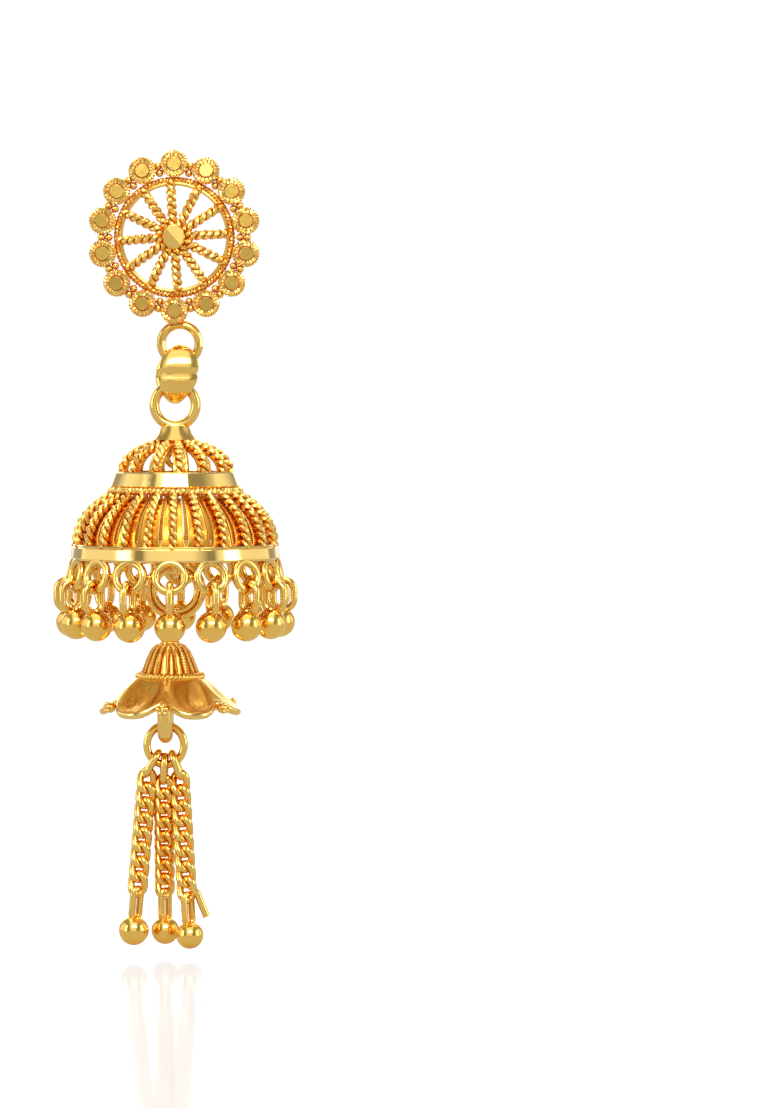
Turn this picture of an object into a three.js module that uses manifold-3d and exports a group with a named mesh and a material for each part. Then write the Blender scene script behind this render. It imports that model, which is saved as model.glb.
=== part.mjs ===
// A gold jhumka drop earring: a pierced rosette stud, a cast connector, a bell of twisted wires with
// a fringe of small balls, and a flower cap that carries three short curb chains.
// Millimetres, +Z up. The wearer's ear is behind the rosette at +Y and the front faces -Y.
// The origin is the root of the ear post, on the rosette's back.
import * as THREE from 'three';
import { mergeVertices } from 'three/addons/utils/BufferGeometryUtils.js';
import Module from 'manifold-3d';

const wasm = await Module();
wasm.setup();

// General fits
const hang_gap = 0.12; // clearance where one loop of wire hangs in another
const seat_gap = 0.2; // the same, for the connector's two broad seats
const solder_lap = 0.3; // how far two soldered pieces run into each other

// Rosette stud
const cup_count = 14;
const cup_circle = 5.92; // radius of the circle through the cups' centres
const cup_radius = 1.15;
const cup_depth = 1.15;
const cup_bevel = 0.32; // rise of the milled bevel round each cup's disc
const cup_facet_radius = 0.66;
const cup_tilt_deg = 7; // each cup leans outwards
const wheel_back = 0.2; // the wheel's back lies this far in front of the ear
const rim_radius = 4.58;
const rim_wire = 0.37; // wire sizes are radii
const spoke_count = 12;
const spoke_wire = 0.35;
const spoke_rise = 0.82; // the spokes meet the hub this far in front of the wheel's back
const spoke_bury = 0.12; // and run this far into it
const spoke_turn_deg = -4;
const hub_radius = 1.42;
const hub_height = 1.95;
const hub_wall_height = 1.07;
const hub_neck_height = 1.4;
const hub_neck_radius = 1.1;
const hub_disc_radius = 0.98;
const hub_oval = 0.87; // the hub's polished disc is narrower than it is tall
const pad_radius = 1.55;
const post_radius = 0.42;
const post_length = 10.5;
const post_tip = 0.25; // chamfer at the post's end

// Upper ring, soldered behind the rosette's lowest cup
const upper_ring_radius = 1.56;
const upper_ring_wire = 0.37;
const upper_ring_shift = 0.42; // the ring sits this far to the right of the post

// Connector, a wide cast bail that takes in both rings
const connector_wall = 0.98;
const connector_opening = 3.0;
const connector_inner_depth = 1.0; // half of the opening, front to back
const connector_plate = 0.58;
const connector_half_width = 1.78;
const connector_groove = 0.22;
const connector_inner_share = 0.5; // its inner and outer faces are narrower than its middle
const connector_outer_share = 0.8;
const connector_turn_deg = 6;

// Lower ring and cap, soldered on top of the bell
const lower_ring_radius = 1.7;
const lower_ring_wire = 0.42;
const cap_height = 1.15;
const cap_flat_radius = 1.0;
const cap_top_radius = 1.26;
const cap_shoulder = 0.23; // depth of the slope at the cap's top
const cap_radius = 1.78;
const cap_foot_radius = 1.6;

// Crown, the small upper dome of round twisted wires
const crown_wires = 13;
const crown_wire = 0.37;
const crown_height = 2.6;
const crown_first_deg = 8.7;
const crown_turns_deg = [-6, 30, 60, 86]; // stations up each wire, from inside the band to inside the cap

// Upper band
const upper_band_radius = 4.93;
const upper_band_height = 1.25;
const upper_band_flare = 0.45;
const band_wall = 0.55;
const band_lip = 0.1; // the lower band stands out this far round the ribs' feet
const band_chamfer = 0.25; // share of a band's height taken by the chamfer at its foot
const collar_wire = 0.34;
const collar_inside = 0.48; // from the collar's centre line to its inner edge

// Main dome
const rib_count = 24;
const rib_width = 1.12;
const rib_outer_width = 0.81;
const rib_depth = 0.88;
const rib_seam_deg = 5; // hand spacing: the back ribs stand this far round from an even share
const rib_first_deg = 1.5;
const dome_radius = 8.54;
const dome_height = 4.35;
const rib_top_out = 0.24; // the ribs' tops stand this far outside the collar's centre line

// Lower band and its row of loops
const lower_band_height = 1.35;
const lower_band_flare = 0.2;
const loop_count = 16;
const loop_radius = 1.18;
const loop_wire = 0.235;
const loop_tilt_deg = 12;
const loop_inset = 0.2; // the loops' tops sit this far inside the band's outer face

// Ball drops
const drop_wire = 0.22;
const drop_eye_width = 0.86; // half width of the eye, along its wire
const drop_eye_length = 2.4;
const drop_ball_radius = 1.27;
const drop_eye_lean = 0.12; // the eye stands this far outside its loop's lowest wire
const drop_ball_inset = 0.2; // the ball hangs this far inside its loop's lowest wire

// Hanger inside the bell, an eye pin
const hanger_wire = 0.24;
const hanger_pin_wire = 0.28;
const hanger_eye = 0.84;
const hanger_upper_eye = 0.62;
const hanger_neck = 0.72;
const hanger_drop = 0.5; // the lower eye's centre lies this far below the bell's lower band

// Inner ring
const inner_ring_radius = 2.02;
const inner_ring_half_width = 0.5;
const inner_ring_half_depth = 0.3;

// Flower cap
const flower_shift = -0.45;
const flower_eye = 0.84;
const flower_wire = 0.24;
const flower_neck_radius = 0.72;
const flower_neck_height = 1.6;
const flower_top_radius = 0.5;
const flower_waist_radius = 0.58;
const flower_waist_height = 0.64; // above the bud's top
const bud_height = 2.65;
const bud_radius = 2.53;
const bud_lip = 0.22;
const bud_skirt = 0.35; // the bud reaches this far below its foot
// the bud's outline from the top down, as shares of its radius and its height
const bud_shares = [[0.58, 0.26], [0.83, 0.52], [0.94, 0.92]];
const petal_count = 6;
const petal_radius = 5.65;
const petal_valley_radius = 4.75;
const petal_slope = 0.88; // fall for each millimetre outwards
const petal_dish = 0.42;
const petal_thickness = 0.34;
const petal_lip = 0.24;
const petal_lip_drop = 0.1;
const petal_lip_depth = 0.48;
const petal_lip_dish = 0.3; // share of the dish that is left at the lip
const petal_root_thickness = 0.48;
const petal_notch_power = 1.5; // a higher power makes narrower notches
const petal_turn_deg = -4;
// two grains stand in each notch between petals
const petal_grains = [
  { radius: 0.36, out: -0.02, down: 0.02 },
  { radius: 0.46, out: 0.58, down: 0.3 },
];

// Bail under the flower, and the oval chain ring
const bail_wire = 0.62;
const bail_drop = 5.75; // from the bud's foot to the bail's lowest point
const bail_shift = -0.4; // to the left of the flower's axis
const chain_ring_half_width = 1.57;
const chain_ring_half_height = 1.73;
const chain_ring_wire = 0.33;

// Three curb chains, each with a ball
const first_link_half_width = 0.72;
const first_link_half_length = 1.08;
const link_wire = 0.25;
const link_half_width = 0.46;
const link_count = 5;
const link_twist_deg = -46; // the front of each link runs from upper right to lower left
const link_bite = 0.74; // crossing wires press together to this share of their width
const end_eye_half_width = 0.4;
const end_eye_length = 2.5;
const end_eye_wire = 0.24;
const chain_ball_radius = 1.16;
const chain_spread = 2;
const chain_fall = 13.95; // from the ring's lowest wire to the middle ball
// ring_deg: where the chain hangs on the ring, from its lowest point; fan_deg: the first link's lean
// to the right; ball, sideways, forward and fall are shares of the three sizes above
const chains = [
  { name: 'chain_left', ring_deg: -50, fan_deg: -30, ball: 1.07, sideways: -1.33, forward: 0, fall: 0.986 },
  { name: 'chain_middle', ring_deg: -4, fan_deg: -3, ball: 1, sideways: -0.07, forward: -0.775, fall: 1 },
  { name: 'chain_right', ring_deg: 46, fan_deg: 20, ball: 0.983, sideways: 0.995, forward: 0.2, fall: 1.011 },
];
// the right chain's cut wire, as steps outwards and down from its last link's middle
const cut_wire = [
  { out: 0.3, down: 0.1 },
  { out: 0.62, down: 0.55 },
  { out: 0.88, down: 0.82 },
  { out: 0.93, down: 1.7 },
  { out: 1.5, down: 2.75 },
];

// Facets: steps round a ring or ball, and sides of a wire
const fine_steps = 12;
const link_steps = 10;
const wire_sides = 6;
const link_sides = 5;
const cup_steps = 10;
const rib_steps = 3;
const round_steps = 14;
const upper_band_steps = 24;
const band_steps = 32;
const facet_error = 0.02; // facets flatter than this are merged
const smallest_body = 0.01; // cubic millimetres

const deg = Math.PI / 180;
const gold = (shade, roughness) => new THREE.MeshStandardMaterial({ color: shade, metalness: 1, roughness });
const polished = gold(0xe7b64c, 0.16);
const twisted = gold(0xdca63c, 0.3);
const cast = gold(0xe2ae44, 0.22);

// Turns a closed geometry into a solid whose faces point outwards.
function solid(geometry) {
  const bare = geometry.clone();
  bare.deleteAttribute('normal');
  bare.deleteAttribute('uv');
  const merged = mergeVertices(bare, 1e-4);
  const vertProperties = new Float32Array(merged.attributes.position.array);
  const triVerts = new Uint32Array(merged.index.array);
  const [a, b, c] = [new THREE.Vector3(), new THREE.Vector3(), new THREE.Vector3()];
  let volume = 0;
  for (let i = 0; i < triVerts.length; i += 3) {
    a.fromArray(vertProperties, 3 * triVerts[i]);
    b.fromArray(vertProperties, 3 * triVerts[i + 1]);
    c.fromArray(vertProperties, 3 * triVerts[i + 2]);
    volume += a.dot(b.cross(c));
  }
  if (volume < 0) {
    for (let i = 0; i < triVerts.length; i += 3) {
      [triVerts[i], triVerts[i + 1]] = [triVerts[i + 1], triVerts[i]];
    }
  }
  return new wasm.Manifold(new wasm.Mesh({ numProp: 3, vertProperties, triVerts }));
}

// Joins geometries as solder does, into one body.
function soldered(geometries) {
  let body = solid(geometries[0]);
  for (const geometry of geometries.slice(1)) body = body.add(solid(geometry));
  return fromSolid(body);
}

// Slivers and sealed pockets between crossing wires are left out.
function fromSolid(body) {
  const skins = body.simplify(facet_error).decompose().filter((skin) => skin.volume() > smallest_body);
  const { vertProperties, triVerts } = wasm.Manifold.compose(skins).getMesh();
  const geometry = new THREE.BufferGeometry();
  geometry.setAttribute('position', new THREE.BufferAttribute(vertProperties, 3));
  geometry.setIndex(new THREE.BufferAttribute(triVerts, 1));
  return geometry;
}

// Skins a row of outlines, each with as many points as the next. A closed row joins end to start.
function loft(outlines, closed) {
  const size = outlines[0].length;
  const positions = outlines.flat().flatMap((p) => [p.x, p.y, p.z]);
  const faces = [];
  const strips = closed ? outlines.length : outlines.length - 1;
  for (let i = 0; i < strips; i += 1) {
    const row = i * size;
    const next = ((i + 1) % outlines.length) * size;
    for (let j = 0; j < size; j += 1) {
      const k = (j + 1) % size;
      faces.push(row + j, row + k, next + k, row + j, next + k, next + j);
    }
  }
  if (!closed) {
    const last = (outlines.length - 1) * size;
    for (let j = 1; j < size - 1; j += 1) {
      faces.push(0, j + 1, j, last, last + j, last + j + 1);
    }
  }
  const geometry = new THREE.BufferGeometry();
  geometry.setAttribute('position', new THREE.Float32BufferAttribute(positions, 3));
  geometry.setIndex(faces);
  return geometry;
}

// A round turned piece on the Z axis, from a profile of [radius, height] pairs.
function turned(profile, steps) {
  const points = profile.map(([radius, height]) => new THREE.Vector2(radius, height));
  return new THREE.LatheGeometry(points, steps).rotateX(Math.PI / 2);
}

// The same for a closed profile that does not reach the axis.
function turnedRing(profile, steps) {
  return turned([...profile, profile[0]], steps);
}

// A round ring whose face looks along Y or X, with a facet's corner at its top and bottom.
function ring(radius, wire, facing, steps = fine_steps, sides = wire_sides) {
  const geometry = new THREE.TorusGeometry(radius, wire, sides, steps).rotateZ(Math.PI / 2);
  if (facing === 'y') geometry.rotateX(Math.PI / 2);
  if (facing === 'x') geometry.rotateY(Math.PI / 2);
  return geometry;
}

// The centre line of a link: two straight sides and two round ends, along Z, wide along X,
// and twisted about Z from one end to the other.
class LinkLine extends THREE.Curve {
  constructor(halfWidth, halfLength, twist = 0) {
    super();
    this.halfWidth = halfWidth;
    this.halfLength = halfLength;
    this.twist = twist;
  }

  getPoint(t, target = new THREE.Vector3()) {
    const side = 2 * (this.halfLength - this.halfWidth);
    const bend = Math.PI * this.halfWidth;
    const around = 2 * (side + bend);
    const top = side + bend / 2;
    let s = (t * around + top) % around;
    let sign = 1;
    if (s >= side + bend) {
      s -= side + bend;
      sign = -1;
    }
    let across = this.halfWidth;
    let along = s - side / 2;
    if (s > side) {
      const angle = (s - side) / this.halfWidth;
      across = this.halfWidth * Math.cos(angle);
      along = side / 2 + this.halfWidth * Math.sin(angle);
    }
    across *= sign;
    along *= sign;
    const turn = this.twist * (along / this.halfLength);
    return target.set(across * Math.cos(turn), across * Math.sin(turn), along);
  }
}

function link(halfWidth, halfLength, wire, twist = 0, steps = link_steps, sides = link_sides) {
  return new THREE.TubeGeometry(new LinkLine(halfWidth, halfLength, twist), steps, wire, sides, true);
}

// A straight rod between two points.
function rod(from, to, radius, sides = wire_sides) {
  const length = from.distanceTo(to);
  const geometry = new THREE.CylinderGeometry(radius, radius, length, sides);
  geometry.translate(0, length / 2, 0);
  const turn = new THREE.Quaternion().setFromUnitVectors(
    new THREE.Vector3(0, 1, 0),
    to.clone().sub(from).normalize(),
  );
  return geometry.applyQuaternion(turn).translate(from.x, from.y, from.z);
}

function ball(radius, steps = link_steps, rows = 5) {
  return new THREE.SphereGeometry(radius, steps, rows).rotateX(Math.PI / 2);
}

// A point on a circle round the Z axis, by its angle from the front towards +X.
function round(radius, angle, height) {
  return new THREE.Vector3(radius * Math.sin(angle), -radius * Math.cos(angle), height);
}

function piece(name, geometry, material) {
  const mesh = new THREE.Mesh(geometry, material);
  mesh.name = name;
  return mesh;
}

// Levels, from the rosette down; each follows from the piece above it
const rosette_bottom = -(cup_circle + cup_radius);
const upper_ring_z = rosette_bottom + solder_lap - upper_ring_radius - upper_ring_wire;
const connector_inner_top = upper_ring_z - upper_ring_radius + upper_ring_wire + seat_gap;
const connector_inner_bottom = connector_inner_top - connector_opening;
const lower_ring_top = connector_inner_bottom + seat_gap + lower_ring_wire;
const lower_ring_z = lower_ring_top - lower_ring_radius;
const cap_top = lower_ring_z - lower_ring_radius;
const cap_foot = cap_top - cap_height;
const upper_band_top = cap_foot - crown_height;
const upper_band_foot = upper_band_top - upper_band_height;
const collar_z = upper_band_foot - collar_wire;
const collar_radius = upper_band_radius + collar_wire;
const dome_start = Math.acos((collar_radius + rib_top_out) / dome_radius); // a turn up from the dome's foot
const dome_curve = dome_height / Math.sin(dome_start); // the dome's upright half axis, as an ellipse
const lower_band_top = collar_z - dome_height;
const lower_band_foot = lower_band_top - lower_band_height;
const loop_tilt = loop_tilt_deg * deg;
const loop_top = lower_band_foot + solder_lap;
const loop_z = loop_top - loop_wire - loop_radius * Math.cos(loop_tilt);
const loop_circle = dome_radius + lower_band_flare - loop_inset - loop_wire;
const hanger_eye_z = lower_band_foot - hanger_drop;
const inner_ring_top = hanger_eye_z - hanger_eye + hanger_wire + hang_gap + inner_ring_half_width;
const inner_ring_z = inner_ring_top - inner_ring_radius;
const flower_ring_drop = Math.sqrt(inner_ring_radius ** 2 - flower_shift ** 2);
const flower_eye_z = inner_ring_z - flower_ring_drop + inner_ring_half_width + hang_gap + flower_wire - flower_eye;
const neck_top = flower_eye_z - flower_eye;
const bud_top = neck_top - flower_neck_height;
const bud_foot = bud_top - bud_height;
const bail_x = flower_shift + bail_shift;
const bail_foot = bud_foot - bail_drop;
const bail_half_width = chain_ring_wire + hang_gap + bail_wire;
const chain_ring_top = bail_foot + 2 * bail_wire + hang_gap + chain_ring_wire;
const chain_ring_z = chain_ring_top - chain_ring_half_height;

// Rosette: fourteen milled cups round a spoked wheel, with the hub's polished disc in front
function makeCup(angle) {
  const front = -cup_depth;
  const cup = new THREE.LatheGeometry(
    [
      new THREE.Vector2(0, 0),
      new THREE.Vector2(cup_radius, 0),
      new THREE.Vector2(cup_radius, front + cup_bevel),
      new THREE.Vector2(cup_facet_radius, front),
      new THREE.Vector2(0, front),
    ],
    cup_steps,
  );
  cup.rotateX(-cup_tilt_deg * deg);
  cup.translate(0, -wheel_back, cup_circle);
  return cup.rotateY(angle);
}

function makeRosette() {
  const wheel_mid = wheel_back + rim_wire;
  const parts = [];
  for (let i = 0; i < cup_count; i += 1) {
    const angle = (i * 2 * Math.PI) / cup_count;
    parts.push(makeCup(angle));
  }
  parts.push(ring(rim_radius, rim_wire, 'y', 2 * cup_count, link_sides).translate(0, -wheel_mid, 0));
  for (let i = 0; i < spoke_count; i += 1) {
    const angle = spoke_turn_deg * deg + (i * 2 * Math.PI) / spoke_count;
    const inner = new THREE.Vector3(0, -wheel_back - spoke_rise, hub_radius * hub_oval - spoke_bury);
    const outer = new THREE.Vector3(0, -wheel_mid, rim_radius);
    parts.push(rod(inner, outer, spoke_wire, link_sides).rotateY(angle));
  }
  const hub = new THREE.LatheGeometry(
    [
      new THREE.Vector2(0, -wheel_back),
      new THREE.Vector2(hub_radius, -wheel_back),
      new THREE.Vector2(hub_radius, -wheel_back - hub_wall_height),
      new THREE.Vector2(hub_neck_radius, -wheel_back - hub_neck_height),
      new THREE.Vector2(hub_disc_radius, -wheel_back - hub_height),
      new THREE.Vector2(0, -wheel_back - hub_height),
    ],
    round_steps,
  );
  parts.push(hub.scale(hub_oval, 1, 1));
  const pad = new THREE.LatheGeometry(
    [
      new THREE.Vector2(0, 0),
      new THREE.Vector2(pad_radius, 0),
      new THREE.Vector2(pad_radius, -wheel_back - rim_wire),
      new THREE.Vector2(0, -wheel_back - rim_wire),
    ],
    round_steps,
  );
  parts.push(pad);
  const hanging = ring(upper_ring_radius, upper_ring_wire, 'y', round_steps);
  parts.push(hanging.translate(upper_ring_shift, 0, upper_ring_z));
  return piece('rosette', soldered(parts), twisted);
}

// Ear post: a plain round post on the pad
function makePost() {
  const profile = [
    new THREE.Vector2(0, 0),
    new THREE.Vector2(post_radius, 0),
    new THREE.Vector2(post_radius, post_length - post_tip),
    new THREE.Vector2(post_radius - post_tip, post_length),
    new THREE.Vector2(0, post_length),
  ];
  return piece('ear_post', fromSolid(solid(new THREE.LatheGeometry(profile, fine_steps))), cast);
}

// Connector: an upright loop, narrow where it passes through each ring and wide in front.
// turn_deg runs from the top over the front; width is a share of the full half width, and
// inset takes metal off the outside.
const connector_stations = [
  { turn_deg: 0, width: 0.36, inset: 0 },
  { turn_deg: 28, width: 0.5, inset: 0 },
  { turn_deg: 50, width: 0.86, inset: 0 },
  { turn_deg: 68, width: 1, inset: 0 },
  { turn_deg: 82, width: 0.98, inset: 0.15 },
  { turn_deg: 90, width: 0.94, inset: 1 },
  { turn_deg: 98, width: 0.98, inset: 0.15 },
  { turn_deg: 112, width: 1, inset: 0 },
  { turn_deg: 130, width: 0.84, inset: 0 },
  { turn_deg: 152, width: 0.56, inset: 0 },
  { turn_deg: 180, width: 0.42, inset: 0 },
  { turn_deg: 208, width: 0.54, inset: 0 },
  { turn_deg: 235, width: 0.72, inset: 0 },
  { turn_deg: 270, width: 0.8, inset: 0 },
  { turn_deg: 305, width: 0.68, inset: 0 },
  { turn_deg: 332, width: 0.48, inset: 0 },
];

function makeConnector() {
  const inner_half = connector_opening / 2;
  const outer_half = inner_half + connector_wall;
  const middle = connector_inner_top - inner_half;
  const outlines = connector_stations.map(({ turn_deg, width, inset }) => {
    const up = Math.cos(turn_deg * deg);
    const out = Math.sin(turn_deg * deg);
    const half = connector_half_width * width;
    const outer_depth = connector_inner_depth + connector_plate - connector_groove * inset;
    const lean = (upper_ring_shift / 2) * up;
    const at = (share, x) => {
      const depth = connector_inner_depth + (outer_depth - connector_inner_depth) * share;
      const height = inner_half + (outer_half - inner_half) * share;
      return new THREE.Vector3(lean + x, -depth * out, height * up);
    };
    return [
      at(0, -half * connector_inner_share),
      at(0, half * connector_inner_share),
      at(0.5, half),
      at(1, half * connector_outer_share),
      at(1, -half * connector_outer_share),
      at(0.5, -half),
    ];
  });
  const body = fromSolid(solid(loft(outlines, true).rotateZ(connector_turn_deg * deg)));
  const mesh = piece('connector', body, cast);
  mesh.position.set(upper_ring_shift / 2, 0, middle);
  return mesh;
}

// Bell: cap, crown of wires, upper band, ribbed dome, lower band with loops, and the hanger inside
function makeCrownWire(angle) {
  const half_axis = upper_band_radius - band_wall / 2 - crown_wire / 2;
  const outlines = [];
  for (const turn_deg of crown_turns_deg) {
    const turn = turn_deg * deg;
    const radius = half_axis * Math.cos(turn);
    const height = upper_band_top + (crown_height - crown_wire / 2) * Math.sin(turn);
    const outline = [];
    for (let j = 0; j < link_sides; j += 1) {
      const a = (j * 2 * Math.PI) / link_sides;
      const grow = crown_wire * Math.cos(a);
      const point = round(radius + grow * Math.cos(turn), 0, height + grow * Math.sin(turn));
      point.x += crown_wire * Math.sin(a);
      outline.push(point);
    }
    outlines.push(outline);
  }
  return loft(outlines, false).rotateZ(angle);
}

function ribAngle(i) {
  const seam = (rib_seam_deg * Math.min(i, rib_count - i)) / (rib_count / 2);
  return (rib_first_deg + (360 * i) / rib_count + seam) * deg;
}

function makeRib(angle) {
  const outlines = [];
  for (let i = 0; i <= rib_steps; i += 1) {
    const turn = dome_start * (1 - i / rib_steps);
    const outer = new THREE.Vector2(dome_radius * Math.cos(turn), dome_curve * Math.sin(turn));
    const inner = new THREE.Vector2(
      (dome_radius - rib_depth) * Math.cos(turn),
      (dome_curve - rib_depth) * Math.sin(turn),
    );
    const out_half = rib_outer_width / 2;
    const in_half = rib_width / 2;
    const corner = (at, x) => {
      const point = round(at.x, 0, lower_band_top + at.y);
      point.x = x;
      return point;
    };
    outlines.push([
      corner(inner, -in_half),
      corner(inner, in_half),
      corner(outer, out_half),
      corner(outer, -out_half),
    ]);
  }
  const foot = outlines[outlines.length - 1].map((p) => p.clone().add(new THREE.Vector3(0, 0, -solder_lap)));
  outlines.push(foot);
  return loft(outlines, false).rotateZ(angle);
}

function makeLoop(angle) {
  const loop = ring(loop_radius, loop_wire, 'y', link_steps, link_sides);
  loop.rotateX(-loop_tilt);
  loop.translate(0, -loop_circle - loop_radius * Math.sin(loop_tilt), loop_z);
  return loop.rotateZ(angle);
}

function makeHanger() {
  const upper_eye_z = cap_foot - hanger_neck - hanger_upper_eye - hanger_wire;
  const up = (z) => new THREE.Vector3(0, 0, z);
  return [
    rod(up(cap_foot + solder_lap), up(upper_eye_z + hanger_upper_eye), hanger_pin_wire),
    ring(hanger_upper_eye, hanger_wire, 'y', link_steps, link_sides).translate(0, 0, upper_eye_z),
    rod(up(upper_eye_z - hanger_upper_eye), up(hanger_eye_z + hanger_eye), hanger_pin_wire),
    ring(hanger_eye, hanger_wire, 'x', link_steps, link_sides).translate(0, 0, hanger_eye_z),
  ];
}

function makeBell() {
  const flare = upper_band_radius + upper_band_flare;
  const foot_radius = dome_radius + lower_band_flare;
  const parts = [
    ring(lower_ring_radius, lower_ring_wire, 'y', round_steps).translate(0, 0, lower_ring_z),
    turned(
      [
        [0, cap_top],
        [cap_flat_radius, cap_top],
        [cap_top_radius, cap_top - cap_shoulder],
        [cap_radius, cap_foot],
        [cap_foot_radius, cap_foot - crown_wire],
        [0, cap_foot - crown_wire],
      ],
      round_steps,
    ),
    turnedRing(
      [
        [upper_band_radius - band_wall, upper_band_top],
        [upper_band_radius, upper_band_top],
        [flare, upper_band_foot],
        [collar_radius + collar_wire, collar_z],
        [collar_radius, collar_z - collar_wire],
        [collar_radius - collar_inside, collar_z],
      ],
      upper_band_steps,
    ),
    turnedRing(
      [
        [dome_radius - rib_depth - band_lip, lower_band_top],
        [dome_radius + band_lip, lower_band_top],
        [foot_radius, lower_band_foot + lower_band_height * band_chamfer],
        [foot_radius - lower_band_flare, lower_band_foot],
        [foot_radius - band_wall, lower_band_foot],
      ],
      band_steps,
    ),
    ...makeHanger(),
  ];
  for (let i = 0; i < crown_wires; i += 1) {
    parts.push(makeCrownWire(crown_first_deg * deg + (i * 2 * Math.PI) / crown_wires));
  }
  for (let i = 0; i < rib_count; i += 1) parts.push(makeRib(ribAngle(i)));
  for (let i = 0; i < loop_count; i += 1) parts.push(makeLoop((i * 2 * Math.PI) / loop_count));
  return piece('bell', soldered(parts), twisted);
}

// One drop: an eye of wire on a round ball, hanging from one loop of the bell
const drop_loop_z = loop_z - loop_radius * Math.cos(loop_tilt);
const drop_circle = loop_circle + 2 * loop_radius * Math.sin(loop_tilt);
const drop_eye_top = drop_loop_z + loop_wire + hang_gap + drop_wire;
const drop_ball_z = drop_eye_top - drop_eye_length - drop_ball_radius + drop_wire;

function makeDrop(i) {
  const eye = link(drop_eye_width, drop_eye_length / 2, drop_wire).rotateZ(Math.PI / 2);
  eye.translate(0, -drop_circle - drop_eye_lean, drop_eye_top - drop_eye_length / 2);
  const bead = ball(drop_ball_radius).translate(0, -drop_circle + drop_ball_inset, drop_ball_z);
  const name = `drop_${String(i + 1).padStart(2, '0')}`;
  const mesh = piece(name, soldered([eye, bead]), polished);
  mesh.rotation.z = (i * 2 * Math.PI) / loop_count;
  return mesh;
}

// Inner ring: two turns of wire side by side, drawn as one flat ring
function makeInnerRing() {
  const body = ring(inner_ring_radius, inner_ring_half_width, 'y', round_steps);
  body.scale(1, inner_ring_half_depth / inner_ring_half_width, 1);
  const mesh = piece('inner_ring', fromSolid(solid(body)), polished);
  mesh.position.z = inner_ring_z;
  return mesh;
}

// Flower cap: eye, neck and bud, six dished petals with grains between them, and a bail below
function petalSkirt() {
  const outlines = [];
  const steps = petal_count * 4;
  const start = bud_radius - bud_lip;
  for (let i = 0; i < steps; i += 1) {
    const angle = (i * 2 * Math.PI) / steps;
    const across = Math.cos((petal_count * angle) / 2) ** 2; // 1 between petals, 0 at a petal's middle
    const edge = petal_radius + (petal_valley_radius - petal_radius) * across ** petal_notch_power;
    const level = (radius) => bud_foot - (radius - start) * petal_slope;
    const middle = (start + edge) / 2;
    const dish = petal_dish * (1 - across);
    const top = (radius, drop) => [radius, level(radius) - drop];
    const outline = [
      top(start, 0),
      top(middle, dish),
      top(edge - petal_lip, dish * petal_lip_dish),
      top(edge, petal_lip_drop),
      top(edge - petal_lip, petal_lip_depth),
      top(middle, dish + petal_thickness),
      top(start, petal_root_thickness),
    ];
    outlines.push(outline.map(([radius, height]) => round(radius, angle, height)));
  }
  return loft(outlines, true);
}

function makeFlower() {
  const lip = bud_radius + bud_lip;
  const parts = [
    ring(flower_eye, flower_wire, 'x', link_steps, link_sides).translate(0, 0, flower_eye_z),
    turned(
      [
        [0, neck_top],
        [flower_top_radius, neck_top],
        [flower_waist_radius, bud_top + flower_waist_height],
        [flower_neck_radius, bud_top],
        ...bud_shares.map(([out, down]) => [bud_radius * out, bud_top - bud_height * down]),
        [lip, bud_foot],
        [bud_radius, bud_foot - bud_skirt],
        [0, bud_foot - bud_skirt],
      ],
      round_steps,
    ),
    petalSkirt(),
  ];
  const slope_at = (radius) => bud_foot - (radius - bud_radius + bud_lip) * petal_slope;
  for (let i = 0; i < petal_count; i += 1) {
    for (const { radius, out, down } of petal_grains) {
      const at = petal_valley_radius + out;
      const bead = ball(radius, 6, 3).translate(0, -at, slope_at(petal_valley_radius) - down);
      parts.push(bead.rotateZ((i * 2 * Math.PI) / petal_count));
    }
  }
  const bail_half_length = (bud_foot - bail_foot) / 2 - bail_wire / 2;
  const bail = link(bail_half_width, bail_half_length, bail_wire, 0, fine_steps, wire_sides);
  bail.rotateZ(Math.PI / 2 - petal_turn_deg * deg);
  const bail_offset = new THREE.Vector3(bail_shift, 0, bail_foot + bail_wire + bail_half_length);
  bail_offset.applyAxisAngle(new THREE.Vector3(0, 0, 1), -petal_turn_deg * deg);
  parts.push(bail.translate(bail_offset.x, bail_offset.y, bail_offset.z));
  const mesh = piece('flower_cap', soldered(parts), polished);
  mesh.position.x = flower_shift;
  mesh.rotation.z = petal_turn_deg * deg;
  return mesh;
}

// Chain ring: a plain oval ring in the flower's bail
function makeChainRing() {
  const outline = new THREE.EllipseCurve(0, 0, chain_ring_half_width, chain_ring_half_height);
  const points = outline.getPoints(24).slice(0, -1).map((p) => new THREE.Vector3(p.x, 0, p.y));
  const line = new THREE.CatmullRomCurve3(points, true);
  const body = new THREE.TubeGeometry(line, round_steps, chain_ring_wire, wire_sides, true);
  const mesh = piece('chain_ring', fromSolid(solid(body)), polished);
  mesh.position.set(bail_x, 0, chain_ring_z);
  return mesh;
}

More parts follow.
